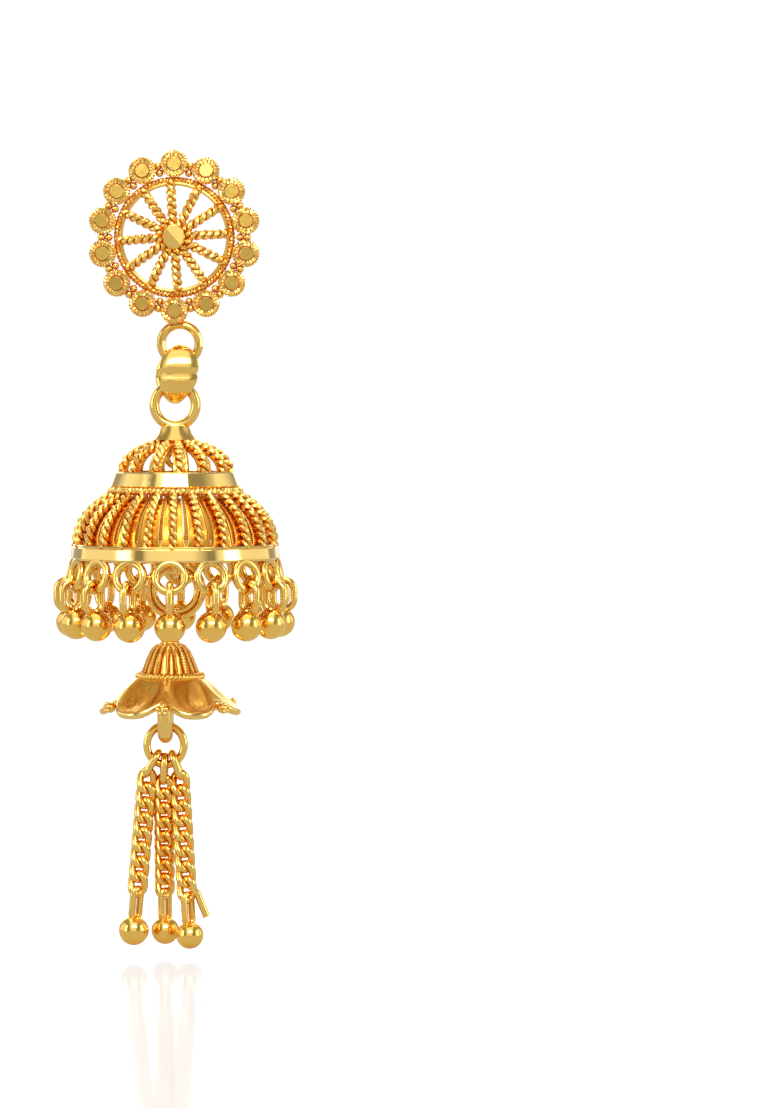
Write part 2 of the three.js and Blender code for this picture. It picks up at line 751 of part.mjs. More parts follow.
// One strand: a link on the ring, twisted curb links, and a ball on its eye
function makeChain({ name, ring_deg, fan_deg, ball: ball_share, sideways, forward, fall }) {
  const ball_radius = chain_ball_radius * ball_share;
  const across = chain_ring_half_width * Math.sin(ring_deg * deg);
  const down = chain_ring_half_height * Math.cos(ring_deg * deg);
  const slope = Math.atan2(
    chain_ring_half_height * Math.sin(ring_deg * deg),
    chain_ring_half_width * Math.cos(ring_deg * deg),
  );
  const grip = chain_ring_wire + hang_gap + link_wire;
  const first_top = new THREE.Vector3(
    bail_x + across - grip * Math.sin(slope),
    0,
    chain_ring_z - down + grip * Math.cos(slope),
  );
  const fan = fan_deg * deg;
  const first = link(first_link_half_width, first_link_half_length, link_wire).rotateZ(Math.PI / 2);
  first.translate(0, 0, -first_link_half_length).rotateY(-fan);
  first.translate(first_top.x, first_top.y, first_top.z);
  const crossing = 2 * link_wire * link_bite;
  const first_fall = 2 * first_link_half_length - crossing;
  const start = first_top.clone();
  start.add(new THREE.Vector3(first_fall * Math.sin(fan), 0, -first_fall * Math.cos(fan)));
  const bead_at = new THREE.Vector3(
    bail_x + chain_spread * sideways,
    -chain_spread * forward,
    chain_ring_z - chain_ring_half_height - chain_fall * fall,
  );
  const way = bead_at.clone().sub(start);
  const eye_centre = way.length() - ball_radius - end_eye_length / 2 + end_eye_wire;
  const eye_top = eye_centre - end_eye_length / 2;
  const pitch = (eye_top + (link_wire + end_eye_wire) * link_bite - crossing) / link_count;
  const half_length = (pitch + crossing) / 2;
  const turn = new THREE.Quaternion().setFromUnitVectors(new THREE.Vector3(0, 0, -1), way.clone().normalize());
  const parts = [first];
  const place = (geometry, depth) => {
    const centre = start.clone().addScaledVector(way.clone().normalize(), depth);
    return geometry.applyQuaternion(turn).translate(centre.x, centre.y, centre.z);
  };
  for (let i = 0; i < link_count; i += 1) {
    const curb = link(link_half_width, half_length, link_wire, link_twist_deg * deg);
    parts.push(place(curb, half_length + i * pitch));
  }
  const eye = link(end_eye_half_width, end_eye_length / 2, end_eye_wire).rotateZ(Math.PI / 4);
  parts.push(place(eye, eye_centre));
  parts.push(ball(ball_radius).translate(bead_at.x, bead_at.y, bead_at.z));
  if (name === 'chain_right') parts.push(makeCutWire(place, half_length, pitch));
  return piece(name, soldered(parts), polished);
}

// The right strand's last link is cut open, and its end stands off to the side
function makeCutWire(place, half_length, pitch) {
  const last = half_length + (link_count - 1) * pitch;
  const outlines = cut_wire.map(({ out, down }, i) => {
    const before = cut_wire[Math.max(0, i - 1)];
    const after = cut_wire[Math.min(cut_wire.length - 1, i + 1)];
    const slope = Math.atan2(after.out - before.out, after.down - before.down);
    const outline = [];
    for (let j = 0; j < link_sides; j += 1) {
      const a = (j * 2 * Math.PI) / link_sides;
      const side = link_wire * Math.cos(a);
      outline.push(
        new THREE.Vector3(out + side * Math.cos(slope), -link_wire * Math.sin(a), side * Math.sin(slope) - down),
      );
    }
    return outline;
  });
  return place(loft(outlines, false), last);
}

const stud = new THREE.Group();
stud.add(makeRosette(), makePost());

const bell = new THREE.Group();
bell.add(makeBell());
for (let i = 0; i < loop_count; i += 1) bell.add(makeDrop(i));

const tassel = new THREE.Group();
tassel.add(makeInnerRing(), makeFlower(), makeChainRing(), ...chains.map(makeChain));

const earring = new THREE.Group();
earring.add(stud, makeConnector(), bell, tassel);
export default earring;
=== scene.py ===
import math

import bmesh
import bpy
from mathutils import Matrix, Vector


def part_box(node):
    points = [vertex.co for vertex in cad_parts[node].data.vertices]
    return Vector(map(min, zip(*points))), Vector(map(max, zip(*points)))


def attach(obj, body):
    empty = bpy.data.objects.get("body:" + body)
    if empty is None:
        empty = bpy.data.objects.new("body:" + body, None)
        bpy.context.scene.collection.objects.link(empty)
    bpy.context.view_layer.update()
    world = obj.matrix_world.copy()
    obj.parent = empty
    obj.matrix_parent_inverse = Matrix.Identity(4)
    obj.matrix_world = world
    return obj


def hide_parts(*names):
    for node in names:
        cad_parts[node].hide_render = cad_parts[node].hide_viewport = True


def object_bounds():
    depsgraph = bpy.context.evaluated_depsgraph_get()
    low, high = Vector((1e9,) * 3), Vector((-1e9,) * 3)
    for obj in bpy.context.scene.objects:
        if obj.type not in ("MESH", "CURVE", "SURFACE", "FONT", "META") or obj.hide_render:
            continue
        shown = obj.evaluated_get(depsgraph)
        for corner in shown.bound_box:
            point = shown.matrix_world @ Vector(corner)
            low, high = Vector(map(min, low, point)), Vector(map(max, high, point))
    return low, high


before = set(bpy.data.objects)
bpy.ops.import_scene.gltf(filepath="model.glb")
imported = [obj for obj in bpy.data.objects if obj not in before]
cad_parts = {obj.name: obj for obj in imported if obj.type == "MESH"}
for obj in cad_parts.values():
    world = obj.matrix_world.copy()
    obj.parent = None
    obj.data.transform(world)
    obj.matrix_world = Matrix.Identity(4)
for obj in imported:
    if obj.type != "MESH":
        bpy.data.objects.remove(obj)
cad_box = [list(corner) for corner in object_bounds()]

# Camera, floor and light.
# The earring hangs straight, its lowest ball just clear of a polished white table, in a bright room
# with a dark panel at each side that gives the gold its deep tones. The camera looks slightly down.
mm = 0.001
picture_height = 91.4
camera_distance = 337.0
camera_right = 17.7
camera_level = -26.04
camera_down = math.radians(2.3)
table_gap = 0.45

camera_data = bpy.data.cameras.new("camera")
camera_data.sensor_fit = "VERTICAL"
camera_data.angle = 2 * math.atan(picture_height / 2 / camera_distance)
camera_data.clip_start = 0.01
camera = bpy.data.objects.new("camera", camera_data)
bpy.context.collection.objects.link(camera)
camera.location = (
    camera_right * mm,
    -camera_distance * math.cos(camera_down) * mm,
    (camera_level + camera_distance * math.sin(camera_down)) * mm,
)
camera.rotation_euler = (math.pi / 2 - camera_down, 0, 0)
bpy.context.scene.camera = camera

table_level = cad_box[0][2] - table_gap * mm
table_mesh = bmesh.new()
bmesh.ops.create_grid(table_mesh, x_segments=1, y_segments=1, size=3.0)
bmesh.ops.translate(table_mesh, vec=(0, 0, table_level), verts=table_mesh.verts)
table_data = bpy.data.meshes.new("table_top")
table_mesh.to_mesh(table_data)
table_mesh.free()
table = bpy.data.objects.new("table_top", table_data)
bpy.context.collection.objects.link(table)

table_white = bpy.data.materials.new("polished_white_table")
table_white.use_nodes = True
tree = table_white.node_tree
tree.nodes.clear()
glow = tree.nodes.new("ShaderNodeEmission")
glow.inputs["Color"].default_value = (1.0, 1.0, 1.0, 1.0)
glow.inputs["Strength"].default_value = 1.03
shine = tree.nodes.new("ShaderNodeBsdfGlossy")
shine.inputs["Color"].default_value = (1.0, 1.0, 1.0, 1.0)
shine.inputs["Roughness"].default_value = 0.1
polish = tree.nodes.new("ShaderNodeMixShader")
polish.inputs["Fac"].default_value = 0.2
tree.links.new(glow.outputs["Emission"], polish.inputs[1])
tree.links.new(shine.outputs["BSDF"], polish.inputs[2])
bounce = tree.nodes.new("ShaderNodeEmission")
bounce.inputs["Color"].default_value = (1.0, 0.97, 0.92, 1.0)
bounce.inputs["Strength"].default_value = 0.72
seen = tree.nodes.new("ShaderNodeLightPath")
choice = tree.nodes.new("ShaderNodeMixShader")
tree.links.new(seen.outputs["Is Camera Ray"], choice.inputs["Fac"])
tree.links.new(bounce.outputs["Emission"], choice.inputs[1])
tree.links.new(polish.outputs["Shader"], choice.inputs[2])
table_output = tree.nodes.new("ShaderNodeOutputMaterial")
tree.links.new(choice.outputs["Shader"], table_output.inputs["Surface"])
table_data.materials.append(table_white)

room = bpy.data.worlds.new("bright_room")
room.use_nodes = True
bpy.context.scene.world = room
tree = room.node_tree
tree.nodes.clear()
direction = tree.nodes.new("ShaderNodeTexCoord")
parts = tree.nodes.new("ShaderNodeSeparateXYZ")
tree.links.new(direction.outputs["Generated"], parts.inputs["Vector"])
height = tree.nodes.new("ShaderNodeMapRange")
height.inputs["From Min"].default_value = -1.0
height.inputs["From Max"].default_value = 1.0
height.inputs["To Min"].default_value = 0.68
height.inputs["To Max"].default_value = 1.4
tree.links.new(parts.outputs["Z"], height.inputs["Value"])
backdrop = tree.nodes.new("ShaderNodeMapRange")
backdrop.inputs["From Min"].default_value = 0.2
backdrop.inputs["From Max"].default_value = 0.8
backdrop.inputs["To Max"].default_value = 0.45
tree.links.new(parts.outputs["Y"], backdrop.inputs["Value"])
lens = tree.nodes.new("ShaderNodeMapRange")
lens.inputs["From Min"].default_value = -0.9992
lens.inputs["From Max"].default_value = -0.9965
lens.inputs["To Min"].default_value = 0.12
lens.inputs["To Max"].default_value = 1.0
tree.links.new(parts.outputs["Y"], lens.inputs["Value"])
walls = tree.nodes.new("ShaderNodeMath")
walls.operation = "ADD"
tree.links.new(height.outputs["Result"], walls.inputs[0])
tree.links.new(backdrop.outputs["Result"], walls.inputs[1])
sideways = tree.nodes.new("ShaderNodeMath")
sideways.operation = "ABSOLUTE"
tree.links.new(parts.outputs["X"], sideways.inputs[0])
panels = tree.nodes.new("ShaderNodeValToRGB")
panels.color_ramp.elements[0].position = 0.3
panels.color_ramp.elements[0].color = (1.0, 1.0, 1.0, 1.0)
panels.color_ramp.elements[1].position = 1.0
panels.color_ramp.elements[1].color = (1.0, 1.0, 1.0, 1.0)
for position, shade in ((0.5, 0.3), (0.72, 0.3), (0.86, 1.0)):
    panels.color_ramp.elements.new(position).color = (shade, shade, shade, 1.0)
tree.links.new(sideways.outputs["Value"], panels.inputs["Fac"])
striped = tree.nodes.new("ShaderNodeMath")
striped.operation = "MULTIPLY"
tree.links.new(walls.outputs["Value"], striped.inputs[0])
tree.links.new(panels.outputs["Color"], striped.inputs[1])
strength = tree.nodes.new("ShaderNodeMath")
strength.operation = "MULTIPLY"
tree.links.new(striped.outputs["Value"], strength.inputs[0])
tree.links.new(lens.outputs["Result"], strength.inputs[1])
room_light = tree.nodes.new("ShaderNodeBackground")
room_light.inputs["Color"].default_value = (1.0, 0.98, 0.95, 1.0)
tree.links.new(strength.outputs["Value"], room_light.inputs["Strength"])
paper = tree.nodes.new("ShaderNodeBackground")
paper.inputs["Color"].default_value = (1.0, 1.0, 1.0, 1.0)
paper.inputs["Strength"].default_value = 1.03
seen = tree.nodes.new("ShaderNodeLightPath")
choice = tree.nodes.new("ShaderNodeMixShader")
tree.links.new(seen.outputs["Is Camera Ray"], choice.inputs["Fac"])
tree.links.new(room_light.outputs["Background"], choice.inputs[1])
tree.links.new(paper.outputs["Background"], choice.inputs[2])
room_output = tree.nodes.new("ShaderNodeOutputWorld")
tree.links.new(choice.outputs["Shader"], room_output.inputs["Surface"])


def softbox(name, place, aim, width, height, watts):
    """A rectangular soft light that looks at a point, sizes in metres."""
    data = bpy.data.lights.new(name, "AREA")
    data.shape = "RECTANGLE"
    data.size = width
    data.size_y = height
    data.energy = watts
    lamp = bpy.data.objects.new(name, data)
    bpy.context.collection.objects.link(lamp)
    lamp.location = place
    lamp.rotation_euler = (Vector(aim) - Vector(place)).to_track_quat("-Z", "Y").to_euler()
    lamp.visible_camera = False


middle = (0, 0, -0.03)
softbox("key_light", (0.05, -0.40, 0.26), middle, 0.28, 0.16, 1.3)
softbox("left_light", (-0.42, -0.22, 0.05), middle, 0.10, 0.42, 0.5)
softbox("right_light", (0.40, -0.12, -0.02), middle, 0.10, 0.45, 0.55)
softbox("top_light", (0.0, 0.10, 0.42), middle, 0.30, 0.30, 0.7)
softbox("back_light", (-0.12, 0.45, 0.12), middle, 0.35, 0.25, 0.45)
bpy.context.scene.view_settings.view_transform = "Standard"
bpy.context.scene.view_settings.look = "None"

# Ear post: a plain round gold post soldered behind the rosette, straight from the draw plate.
# It is rubbed smooth by hand, and a painted shade turns its colour a deeper orange where it meets the
# pad.


def tint_group():
    """Colour, roughness and fine relief of hand-finished gold, with painted shade: a deeper orange
    mixed in where ambient occlusion finds it sheltered, and a little in random patches.
    """
    group = bpy.data.node_groups.new("gold_finish_with_painted_shade", "ShaderNodeTree")
    sockets = group.interface
    sockets.new_socket("Bright", in_out="INPUT", socket_type="NodeSocketColor")
    sockets.new_socket("Shade And Patch Tone", in_out="INPUT", socket_type="NodeSocketColor")
    sockets.new_socket("Patch Scale", in_out="INPUT", socket_type="NodeSocketFloat")
    sockets.new_socket("Smooth", in_out="INPUT", socket_type="NodeSocketFloat")
    sockets.new_socket("Dull", in_out="INPUT", socket_type="NodeSocketFloat")
    sockets.new_socket("Grain Scale", in_out="INPUT", socket_type="NodeSocketFloat")
    sockets.new_socket("Painted Shade Reach", in_out="INPUT", socket_type="NodeSocketFloat")
    sockets.new_socket("Colour", in_out="OUTPUT", socket_type="NodeSocketColor")
    sockets.new_socket("Roughness", in_out="OUTPUT", socket_type="NodeSocketFloat")
    sockets.new_socket("Relief", in_out="OUTPUT", socket_type="NodeSocketFloat")
    nodes = group.nodes
    links = group.links
    given = nodes.new("NodeGroupInput")
    made = nodes.new("NodeGroupOutput")
    place = nodes.new("ShaderNodeTexCoord")
    patches = nodes.new("ShaderNodeTexNoise")
    patches.inputs["Detail"].default_value = 3.0
    links.new(place.outputs["Object"], patches.inputs["Vector"])
    links.new(given.outputs["Patch Scale"], patches.inputs["Scale"])
    grain = nodes.new("ShaderNodeTexNoise")
    grain.inputs["Detail"].default_value = 4.0
    grain.inputs["Roughness"].default_value = 0.65
    links.new(place.outputs["Object"], grain.inputs["Vector"])
    links.new(given.outputs["Grain Scale"], grain.inputs["Scale"])
    # Painted shade: the occlusion below turns the colour towards the deep orange in hollows, creases
    # and joints.
    painted_shade_occlusion = nodes.new("ShaderNodeAmbientOcclusion")
    painted_shade_occlusion.samples = 6
    links.new(given.outputs["Painted Shade Reach"], painted_shade_occlusion.inputs["Distance"])
    open_to_light = nodes.new("ShaderNodeMapRange")
    open_to_light.inputs["From Min"].default_value = 0.25
    open_to_light.inputs["From Max"].default_value = 0.9
    links.new(painted_shade_occlusion.outputs["AO"], open_to_light.inputs["Value"])
    patchy = nodes.new("ShaderNodeMapRange")
    patchy.inputs["From Min"].default_value = 0.35
    patchy.inputs["From Max"].default_value = 0.65
    patchy.inputs["To Min"].default_value = 0.8
    patchy.inputs["To Max"].default_value = 1.0
    links.new(patches.outputs["Fac"], patchy.inputs["Value"])
    bright_share = nodes.new("ShaderNodeMath")
    bright_share.operation = "MULTIPLY"
    links.new(open_to_light.outputs["Result"], bright_share.inputs[0])
    links.new(patchy.outputs["Result"], bright_share.inputs[1])
    colour = nodes.new("ShaderNodeMix")
    colour.data_type = "RGBA"
    links.new(bright_share.outputs["Value"], colour.inputs["Factor"])
    links.new(given.outputs["Shade And Patch Tone"], colour.inputs["A"])
    links.new(given.outputs["Bright"], colour.inputs["B"])
    rough = nodes.new("ShaderNodeMapRange")
    rough.inputs["From Min"].default_value = 0.3
    rough.inputs["From Max"].default_value = 0.7
    links.new(grain.outputs["Fac"], rough.inputs["Value"])
    links.new(given.outputs["Smooth"], rough.inputs["To Min"])
    links.new(given.outputs["Dull"], rough.inputs["To Max"])
    links.new(colour.outputs["Result"], made.inputs["Colour"])
    links.new(rough.outputs["Result"], made.inputs["Roughness"])
    links.new(grain.outputs["Fac"], made.inputs["Relief"])
    return group


gold_finish_with_painted_shade = tint_group()


def gold(
    name, bright, shade_and_patch_tone, smooth, dull, relief, patch_scale=500.0, grain_scale=2500.0, painted_shade_occlusion=1.6
):
    """A gold material: a bright tone and a deep tone painted in as shade in hollows and in random
    patches, a roughness range, grain depth and the painted shade's reach in millimetres.
    """
    material = bpy.data.materials.new(name)
    material.use_nodes = True
    nodes = material.node_tree.nodes
    links = material.node_tree.links
    shader = nodes["Principled BSDF"]
    shader.inputs["Metallic"].default_value = 1.0
    finish = nodes.new("ShaderNodeGroup")
    finish.node_tree = gold_finish_with_painted_shade
    finish.inputs["Bright"].default_value = (*bright, 1.0)
    finish.inputs["Shade And Patch Tone"].default_value = (*shade_and_patch_tone, 1.0)
    finish.inputs["Patch Scale"].default_value = patch_scale
    finish.inputs["Smooth"].default_value = smooth
    finish.inputs["Dull"].default_value = dull
    finish.inputs["Grain Scale"].default_value = grain_scale
    finish.inputs["Painted Shade Reach"].default_value = painted_shade_occlusion * mm
    links.new(finish.outputs["Colour"], shader.inputs["Base Color"])
    links.new(finish.outputs["Roughness"], shader.inputs["Roughness"])
    bump = nodes.new("ShaderNodeBump")
    bump.inputs["Strength"].default_value = 1.0
    bump.inputs["Distance"].default_value = relief * mm
    links.new(finish.outputs["Relief"], bump.inputs["Height"])
    links.new(bump.outputs["Normal"], shader.inputs["Normal"])
    return material


# The deep tone is painted shade: it is mixed in where parts shelter each other, and a little in random
# patches.
light_gold = (0.90, 0.63, 0.18)
shade_and_patch_gold = (0.78, 0.32, 0.012)
post_gold = gold("drawn_post_gold", (0.86, 0.59, 0.16), shade_and_patch_gold, 0.16, 0.26, 0.004)
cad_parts["ear_post"].data.materials.clear()
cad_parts["ear_post"].data.materials.append(post_gold)

# Rosette cups: fourteen small milled cups, cast in gold, soldered edge to edge round the wheel.
# Each has a fluted bevel round a slightly tilted polished disc, and a fine rope round its mouth.
cup_count = 14
cup_circle = 5.92
cup_lean = math.radians(7)
cup_back = 0.2
cup_depth = 0.98
cup_wall = 0.97
cup_disc = 0.55
cup_flutes = 18
cup_flute_depth = 0.08
cup_rope_circle = 0.96
cup_strand = 0.105
cup_rope_level = 0.8
cup_rope_turns = 13
disc_leans_deg = [3, -2, 4, 1, -3]
as_made = Matrix.Identity(4)
facing_up = Vector((0, 0, 1))


def turned(profile, steps):
    """A mesh turned on the Z axis from a profile of (radius, height) pairs, in millimetres."""
    shape = bmesh.new()
    points = [shape.verts.new((radius, 0, level)) for radius, level in profile]
    edges = [shape.edges.new(pair) for pair in zip(points, points[1:])]
    bmesh.ops.spin(
        shape,
        geom=points + edges,
        cent=(0, 0, 0),
        axis=(0, 0, 1),
        angle=2 * math.pi,
        steps=steps,
        use_merge=True,
    )
    bmesh.ops.remove_doubles(shape, verts=shape.verts, dist=0.0005)
    bmesh.ops.recalc_face_normals(shape, faces=shape.faces)
    return shape


def to_mesh(shape):
    """A finished shape as a smooth mesh that can be copied into a piece."""
    for face in shape.faces:
        face.smooth = True
    data = bpy.data.meshes.new("shape")
    shape.to_mesh(data)
    shape.free()
    return data


def strands(line, facing, spread, turns, closed=False, per_turn=8):
    """The two twisted strands of a rope along a line whose plane faces a given way."""
    lengths = [0.0]
    course = line + line[:1] if closed else line
    for before, after in zip(course, course[1:]):
        lengths.append(lengths[-1] + (after - before).length)
    count = turns * per_turn
    centres = []
    stretch = 0
    for i in range(count if closed else count + 1):
        reach = lengths[-1] * i / count
        while stretch < len(lengths) - 2 and lengths[stretch + 1] < reach:
            stretch += 1
        part = (reach - lengths[stretch]) / (lengths[stretch + 1] - lengths[stretch])
        centres.append(course[stretch].lerp(course[stretch + 1], part))
    pair = []
    for start in (0, math.pi):
        strand = []
        for i, centre in enumerate(centres):
            if closed:
                along = centres[(i + 1) % count] - centres[i - 1]
            else:
                along = centres[min(i + 1, count)] - centres[max(i - 1, 0)]
            side = along.cross(facing).normalized()
            turn = start + 2 * math.pi * i / per_turn
            strand.append(centre + spread * (math.cos(turn) * side + math.sin(turn) * facing))
        pair.append(strand)
    return pair


def wires(lines, radius, closed=False, sides=8, beads=None):
    """Round wires along lines of points. beads gives the wire's thickness at each point in turn."""
    curve = bpy.data.curves.new("wire", "CURVE")
    curve.dimensions = "3D"
    curve.bevel_depth = radius
    curve.bevel_resolution = (sides - 4) // 2
    curve.use_fill_caps = True
    for line in lines:
        spline = curve.splines.new("POLY")
        spline.points.add(len(line) - 1)
        spline.use_cyclic_u = closed
        for i, (point, place) in enumerate(zip(spline.points, line)):
            point.co = (*place, 1)
            if beads:
                point.radius = beads[i % len(beads)]
    carrier = bpy.data.objects.new("wire", curve)
    data = bpy.data.meshes.new_from_object(carrier)
    bpy.data.objects.remove(carrier)
    bpy.data.curves.remove(curve)
    return data


def circle(radius, count, level=0.0):
    """Points on a circle round the Z axis."""
    return [
        Vector((radius * math.sin(turn), -radius * math.cos(turn), level))
        for turn in (2 * math.pi * i / count for i in range(count))
    ]


def add_piece(name, body, material, copies, nodes=(), crease=38):
    """Joins meshes, each placed by its matrix in millimetres, into one piece on a body."""
    shape = bmesh.new()
    for data, placed in copies:
        first = len(shape.verts)
        shape.from_mesh(data)
        shape.verts.ensure_lookup_table()
        bmesh.ops.transform(shape, matrix=placed, verts=shape.verts[first:])
    bmesh.ops.remove_doubles(shape, verts=shape.verts, dist=0.0002)
    bmesh.ops.scale(shape, vec=(mm, mm, mm), verts=shape.verts)
    data = bpy.data.meshes.new(name)
    shape.to_mesh(data)
    shape.free()
    data.set_sharp_from_angle(angle=math.radians(crease))
    data.materials.append(material)
    made = bpy.data.objects.new(name, data)
    bpy.context.collection.objects.link(made)
    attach(made, body)
    if nodes:
        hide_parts(*nodes)
    return made


def shift(x, y, z):
    """A plain move, in millimetres."""
    return Matrix.Translation((x, y, z))


def spun(angle, axis="Z"):
    """A turn about one of the frame's axes."""
    return Matrix.Rotation(angle, 4, axis)


cup = turned(
    [
        (0, 0),
        (cup_wall - 0.06, 0),
        (cup_wall, 0.06),
        (cup_wall, cup_rope_level),
        (cup_wall - 0.05, cup_depth - 0.02),
        (0.5 * (cup_wall + cup_disc), cup_depth + 0.03),
        (cup_disc + 0.09, cup_depth + 0.05),
        (cup_disc + 0.03, cup_depth - 0.06),
        (cup_disc, cup_depth - 0.06),
        (cup_disc, cup_depth + 0.06),
        (0, cup_depth + 0.06),
    ],
    4 * cup_flutes,
)
for vert in cup.verts:
    reach = math.hypot(vert.co.x, vert.co.y)
    if cup_disc + 0.02 < reach < cup_wall - 0.03 and vert.co.z > cup_rope_level:
        turn = math.atan2(vert.co.y, vert.co.x)
        vert.co.z -= cup_flute_depth * (0.5 - 0.5 * math.cos(cup_flutes * turn))
cup_body = to_mesh(cup)
cup_rope = wires(
    strands(
        circle(cup_rope_circle, 48, cup_rope_level),
        facing_up,
        cup_strand * 0.9,
        cup_rope_turns,
        closed=True,
        per_turn=6,
    ),
    cup_strand,
    closed=True,
    sides=6,
)
cup_places = []
for i in range(cup_count):
    angle = 2 * math.pi * i / cup_count
    seat = spun(angle, "Y") @ shift(0, -cup_back, cup_circle)
    cup_places.append(seat @ spun(math.pi / 2 - cup_lean, "X"))
disc = turned(
    [
        (0, cup_depth),
        (cup_disc, cup_depth),
        (cup_disc, cup_depth + 0.1),
        (cup_disc - 0.03, cup_depth + 0.13),
        (cup_disc - 0.07, cup_depth + 0.13),
        (0, cup_depth + 0.13),
    ],
    36,
)
disc_mesh = to_mesh(disc)
# The discs' colour is painted darker than the cups' gold, a painted dark reflection of the camera
# side; their higher roughness is the real satin finish.
satin_gold_with_painted_dark_reflection = gold("satin_disc_gold_with_painted_dark_reflection", (0.66, 0.45, 0.10), (0.5, 0.26, 0.03), 0.2, 0.36, 0.004, 900.0)
disc_copies = []
for i, place in enumerate(cup_places):
    disc_lean = math.radians(disc_leans_deg[i % len(disc_leans_deg)])
    disc_copies.append((disc_mesh, place @ spun(disc_lean, "X")))
add_piece("rosette_discs", "stud", satin_gold_with_painted_dark_reflection, disc_copies, ["rosette"], 30)
milled_gold = gold("milled_cup_gold", (0.89, 0.64, 0.20), shade_and_patch_gold, 0.12, 0.24, 0.006, 700.0)
add_piece(
    "rosette_cups",
    "stud",
    milled_gold,
    [(part, place) for part in (cup_body, cup_rope) for place in cup_places],
    ["rosette"],
)

# Rosette wheel: a smooth inner ring and a rope ring outside it, with twelve rope spokes soldered
# from it to the hub, and round dabs of solder in the gaps between neighbouring cups.
wheel_level = 0.57
rope_ring = 4.72
rope_ring_strand = 0.15
rope_ring_turns = 46
inner_ring_line = 4.4
inner_ring_wire = 0.16
inner_ring_rise = 0.12
spoke_count = 12
spoke_turn = math.radians(-4)
spoke_strand = 0.215
spoke_turns = 3
spoke_hub_rise = 0.85
spoke_middle_rise = 0.75
spoke_rim_rise = 0.1
spoke_short = 0.15
hub_reach = 1.0
hub_depth = 2.15
# Each dab's radius, and how far it is from the hub.
solder_dabs = [(0.34, 5.98), (0.33, 5.38)]
dab_rise = 0.1
facing_front = Vector((0, -1, 0))
facing_side = Vector((1, 0, 0))


def upright_circle(radius, count, level=0.0):
    """Points on a circle that faces the front, at a depth in front of the ear."""
    return [
        Vector((radius * math.sin(turn), -level, radius * math.cos(turn)))
        for turn in (2 * math.pi * i / count for i in range(count))
    ]


wheel_parts = [
    wires([upright_circle(inner_ring_line, 72, wheel_level + inner_ring_rise)], inner_ring_wire, True),
    wires(
        strands(
            upright_circle(rope_ring, 96, wheel_level),
            facing_front,
            rope_ring_strand * 0.9,
            rope_ring_turns,
            closed=True,
        ),
        rope_ring_strand,
        closed=True,
    ),
]
spoke_line = [
    Vector((0, -wheel_level - spoke_hub_rise, hub_reach)),
    Vector((0, -wheel_level - spoke_middle_rise, 0.5 * (hub_reach + rope_ring))),
    Vector((0, -wheel_level - spoke_rim_rise, rope_ring - spoke_short)),
]
spoke = wires(
    strands(spoke_line, facing_side, spoke_strand, spoke_turns, per_turn=16),
    spoke_strand,
)
wheel_copies = [(data, as_made) for data in wheel_parts]
for i in range(spoke_count):
    wheel_copies.append((spoke, spun(spoke_turn + 2 * math.pi * i / spoke_count, "Y")))
grain_shape = bmesh.new()
bmesh.ops.create_icosphere(grain_shape, subdivisions=2, radius=1.0)
grain = to_mesh(grain_shape)
for i in range(cup_count):
    between = spun(2 * math.pi * (i + 0.5) / cup_count, "Y")
    for radius, reach in solder_dabs:
        dab_place = shift(0, -wheel_level - dab_rise, reach) @ Matrix.Scale(radius, 4)
        wheel_copies.append((grain, between @ dab_place))
rope_gold = gold("twisted_rope_gold", light_gold, shade_and_patch_gold, 0.24, 0.34, 0.002, 600.0)
add_piece("rosette_wheel", "stud", rope_gold, wheel_copies, ["rosette"])

# Rosette hub, back pad and upper ring: a turned hub whose oval face is cut in two flat facets,
# a plain pad against the ear, and a soldered ring of round wire behind the lowest cup.
hub_wall = 1.28
hub_face = 0.98
hub_oval = 0.87
facet_slope = 0.16
pad_radius = 1.55
pad_depth = 0.5
upper_ring_radius = 1.56
upper_ring_wire = 0.37
upper_ring_shift = 0.42
upper_ring_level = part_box("rosette")[0].z / mm + upper_ring_radius + upper_ring_wire
hub = turned(
    [
        (0, 0.3),
        (hub_wall, 0.3),
        (hub_wall, 1.0),
        (hub_wall - 0.12, 1.25),
        (hub_face + 0.12, 1.5),
        (hub_face + 0.06, hub_depth - 0.12),
        (hub_face, hub_depth - 0.04),
        (hub_face - 0.05, hub_depth),
        (hub_face - 0.1, hub_depth),
        (0, hub_depth),
    ],
    40,
)
bmesh.ops.bisect_plane(
    hub, geom=hub.verts[:] + hub.edges[:] + hub.faces[:], plane_no=(1, 1, 0), dist=0.001
)
for vert in hub.verts:
    if vert.co.z > hub_depth - 0.2:
        vert.co.z -= facet_slope * abs(vert.co.x + vert.co.y) / math.sqrt(2)
hub_mesh = to_mesh(hub)
pad = to_mesh(
    turned(
        [
            (0, 0),
            (pad_radius - 0.06, 0),
            (pad_radius, 0.06),
            (pad_radius, pad_depth - 0.08),
            (pad_radius - 0.08, pad_depth),
            (0, pad_depth),
        ],
        48,
    )
)
upper_ring = wires([upright_circle(upper_ring_radius, 48)], upper_ring_wire, True, 14)
face_out = spun(math.pi / 2, "X")
cast_gold = gold("cast_gold", (0.88, 0.61, 0.17), shade_and_patch_gold, 0.1, 0.18, 0.004, 300.0)
add_piece(
    "rosette_hub",
    "stud",
    cast_gold,
    [
        (hub_mesh, Matrix.Diagonal((hub_oval, 1, 1, 1)) @ face_out),
        (pad, face_out),
        (upper_ring, shift(upper_ring_shift, 0, upper_ring_level)),
    ],
    ["rosette"],
    13,
)

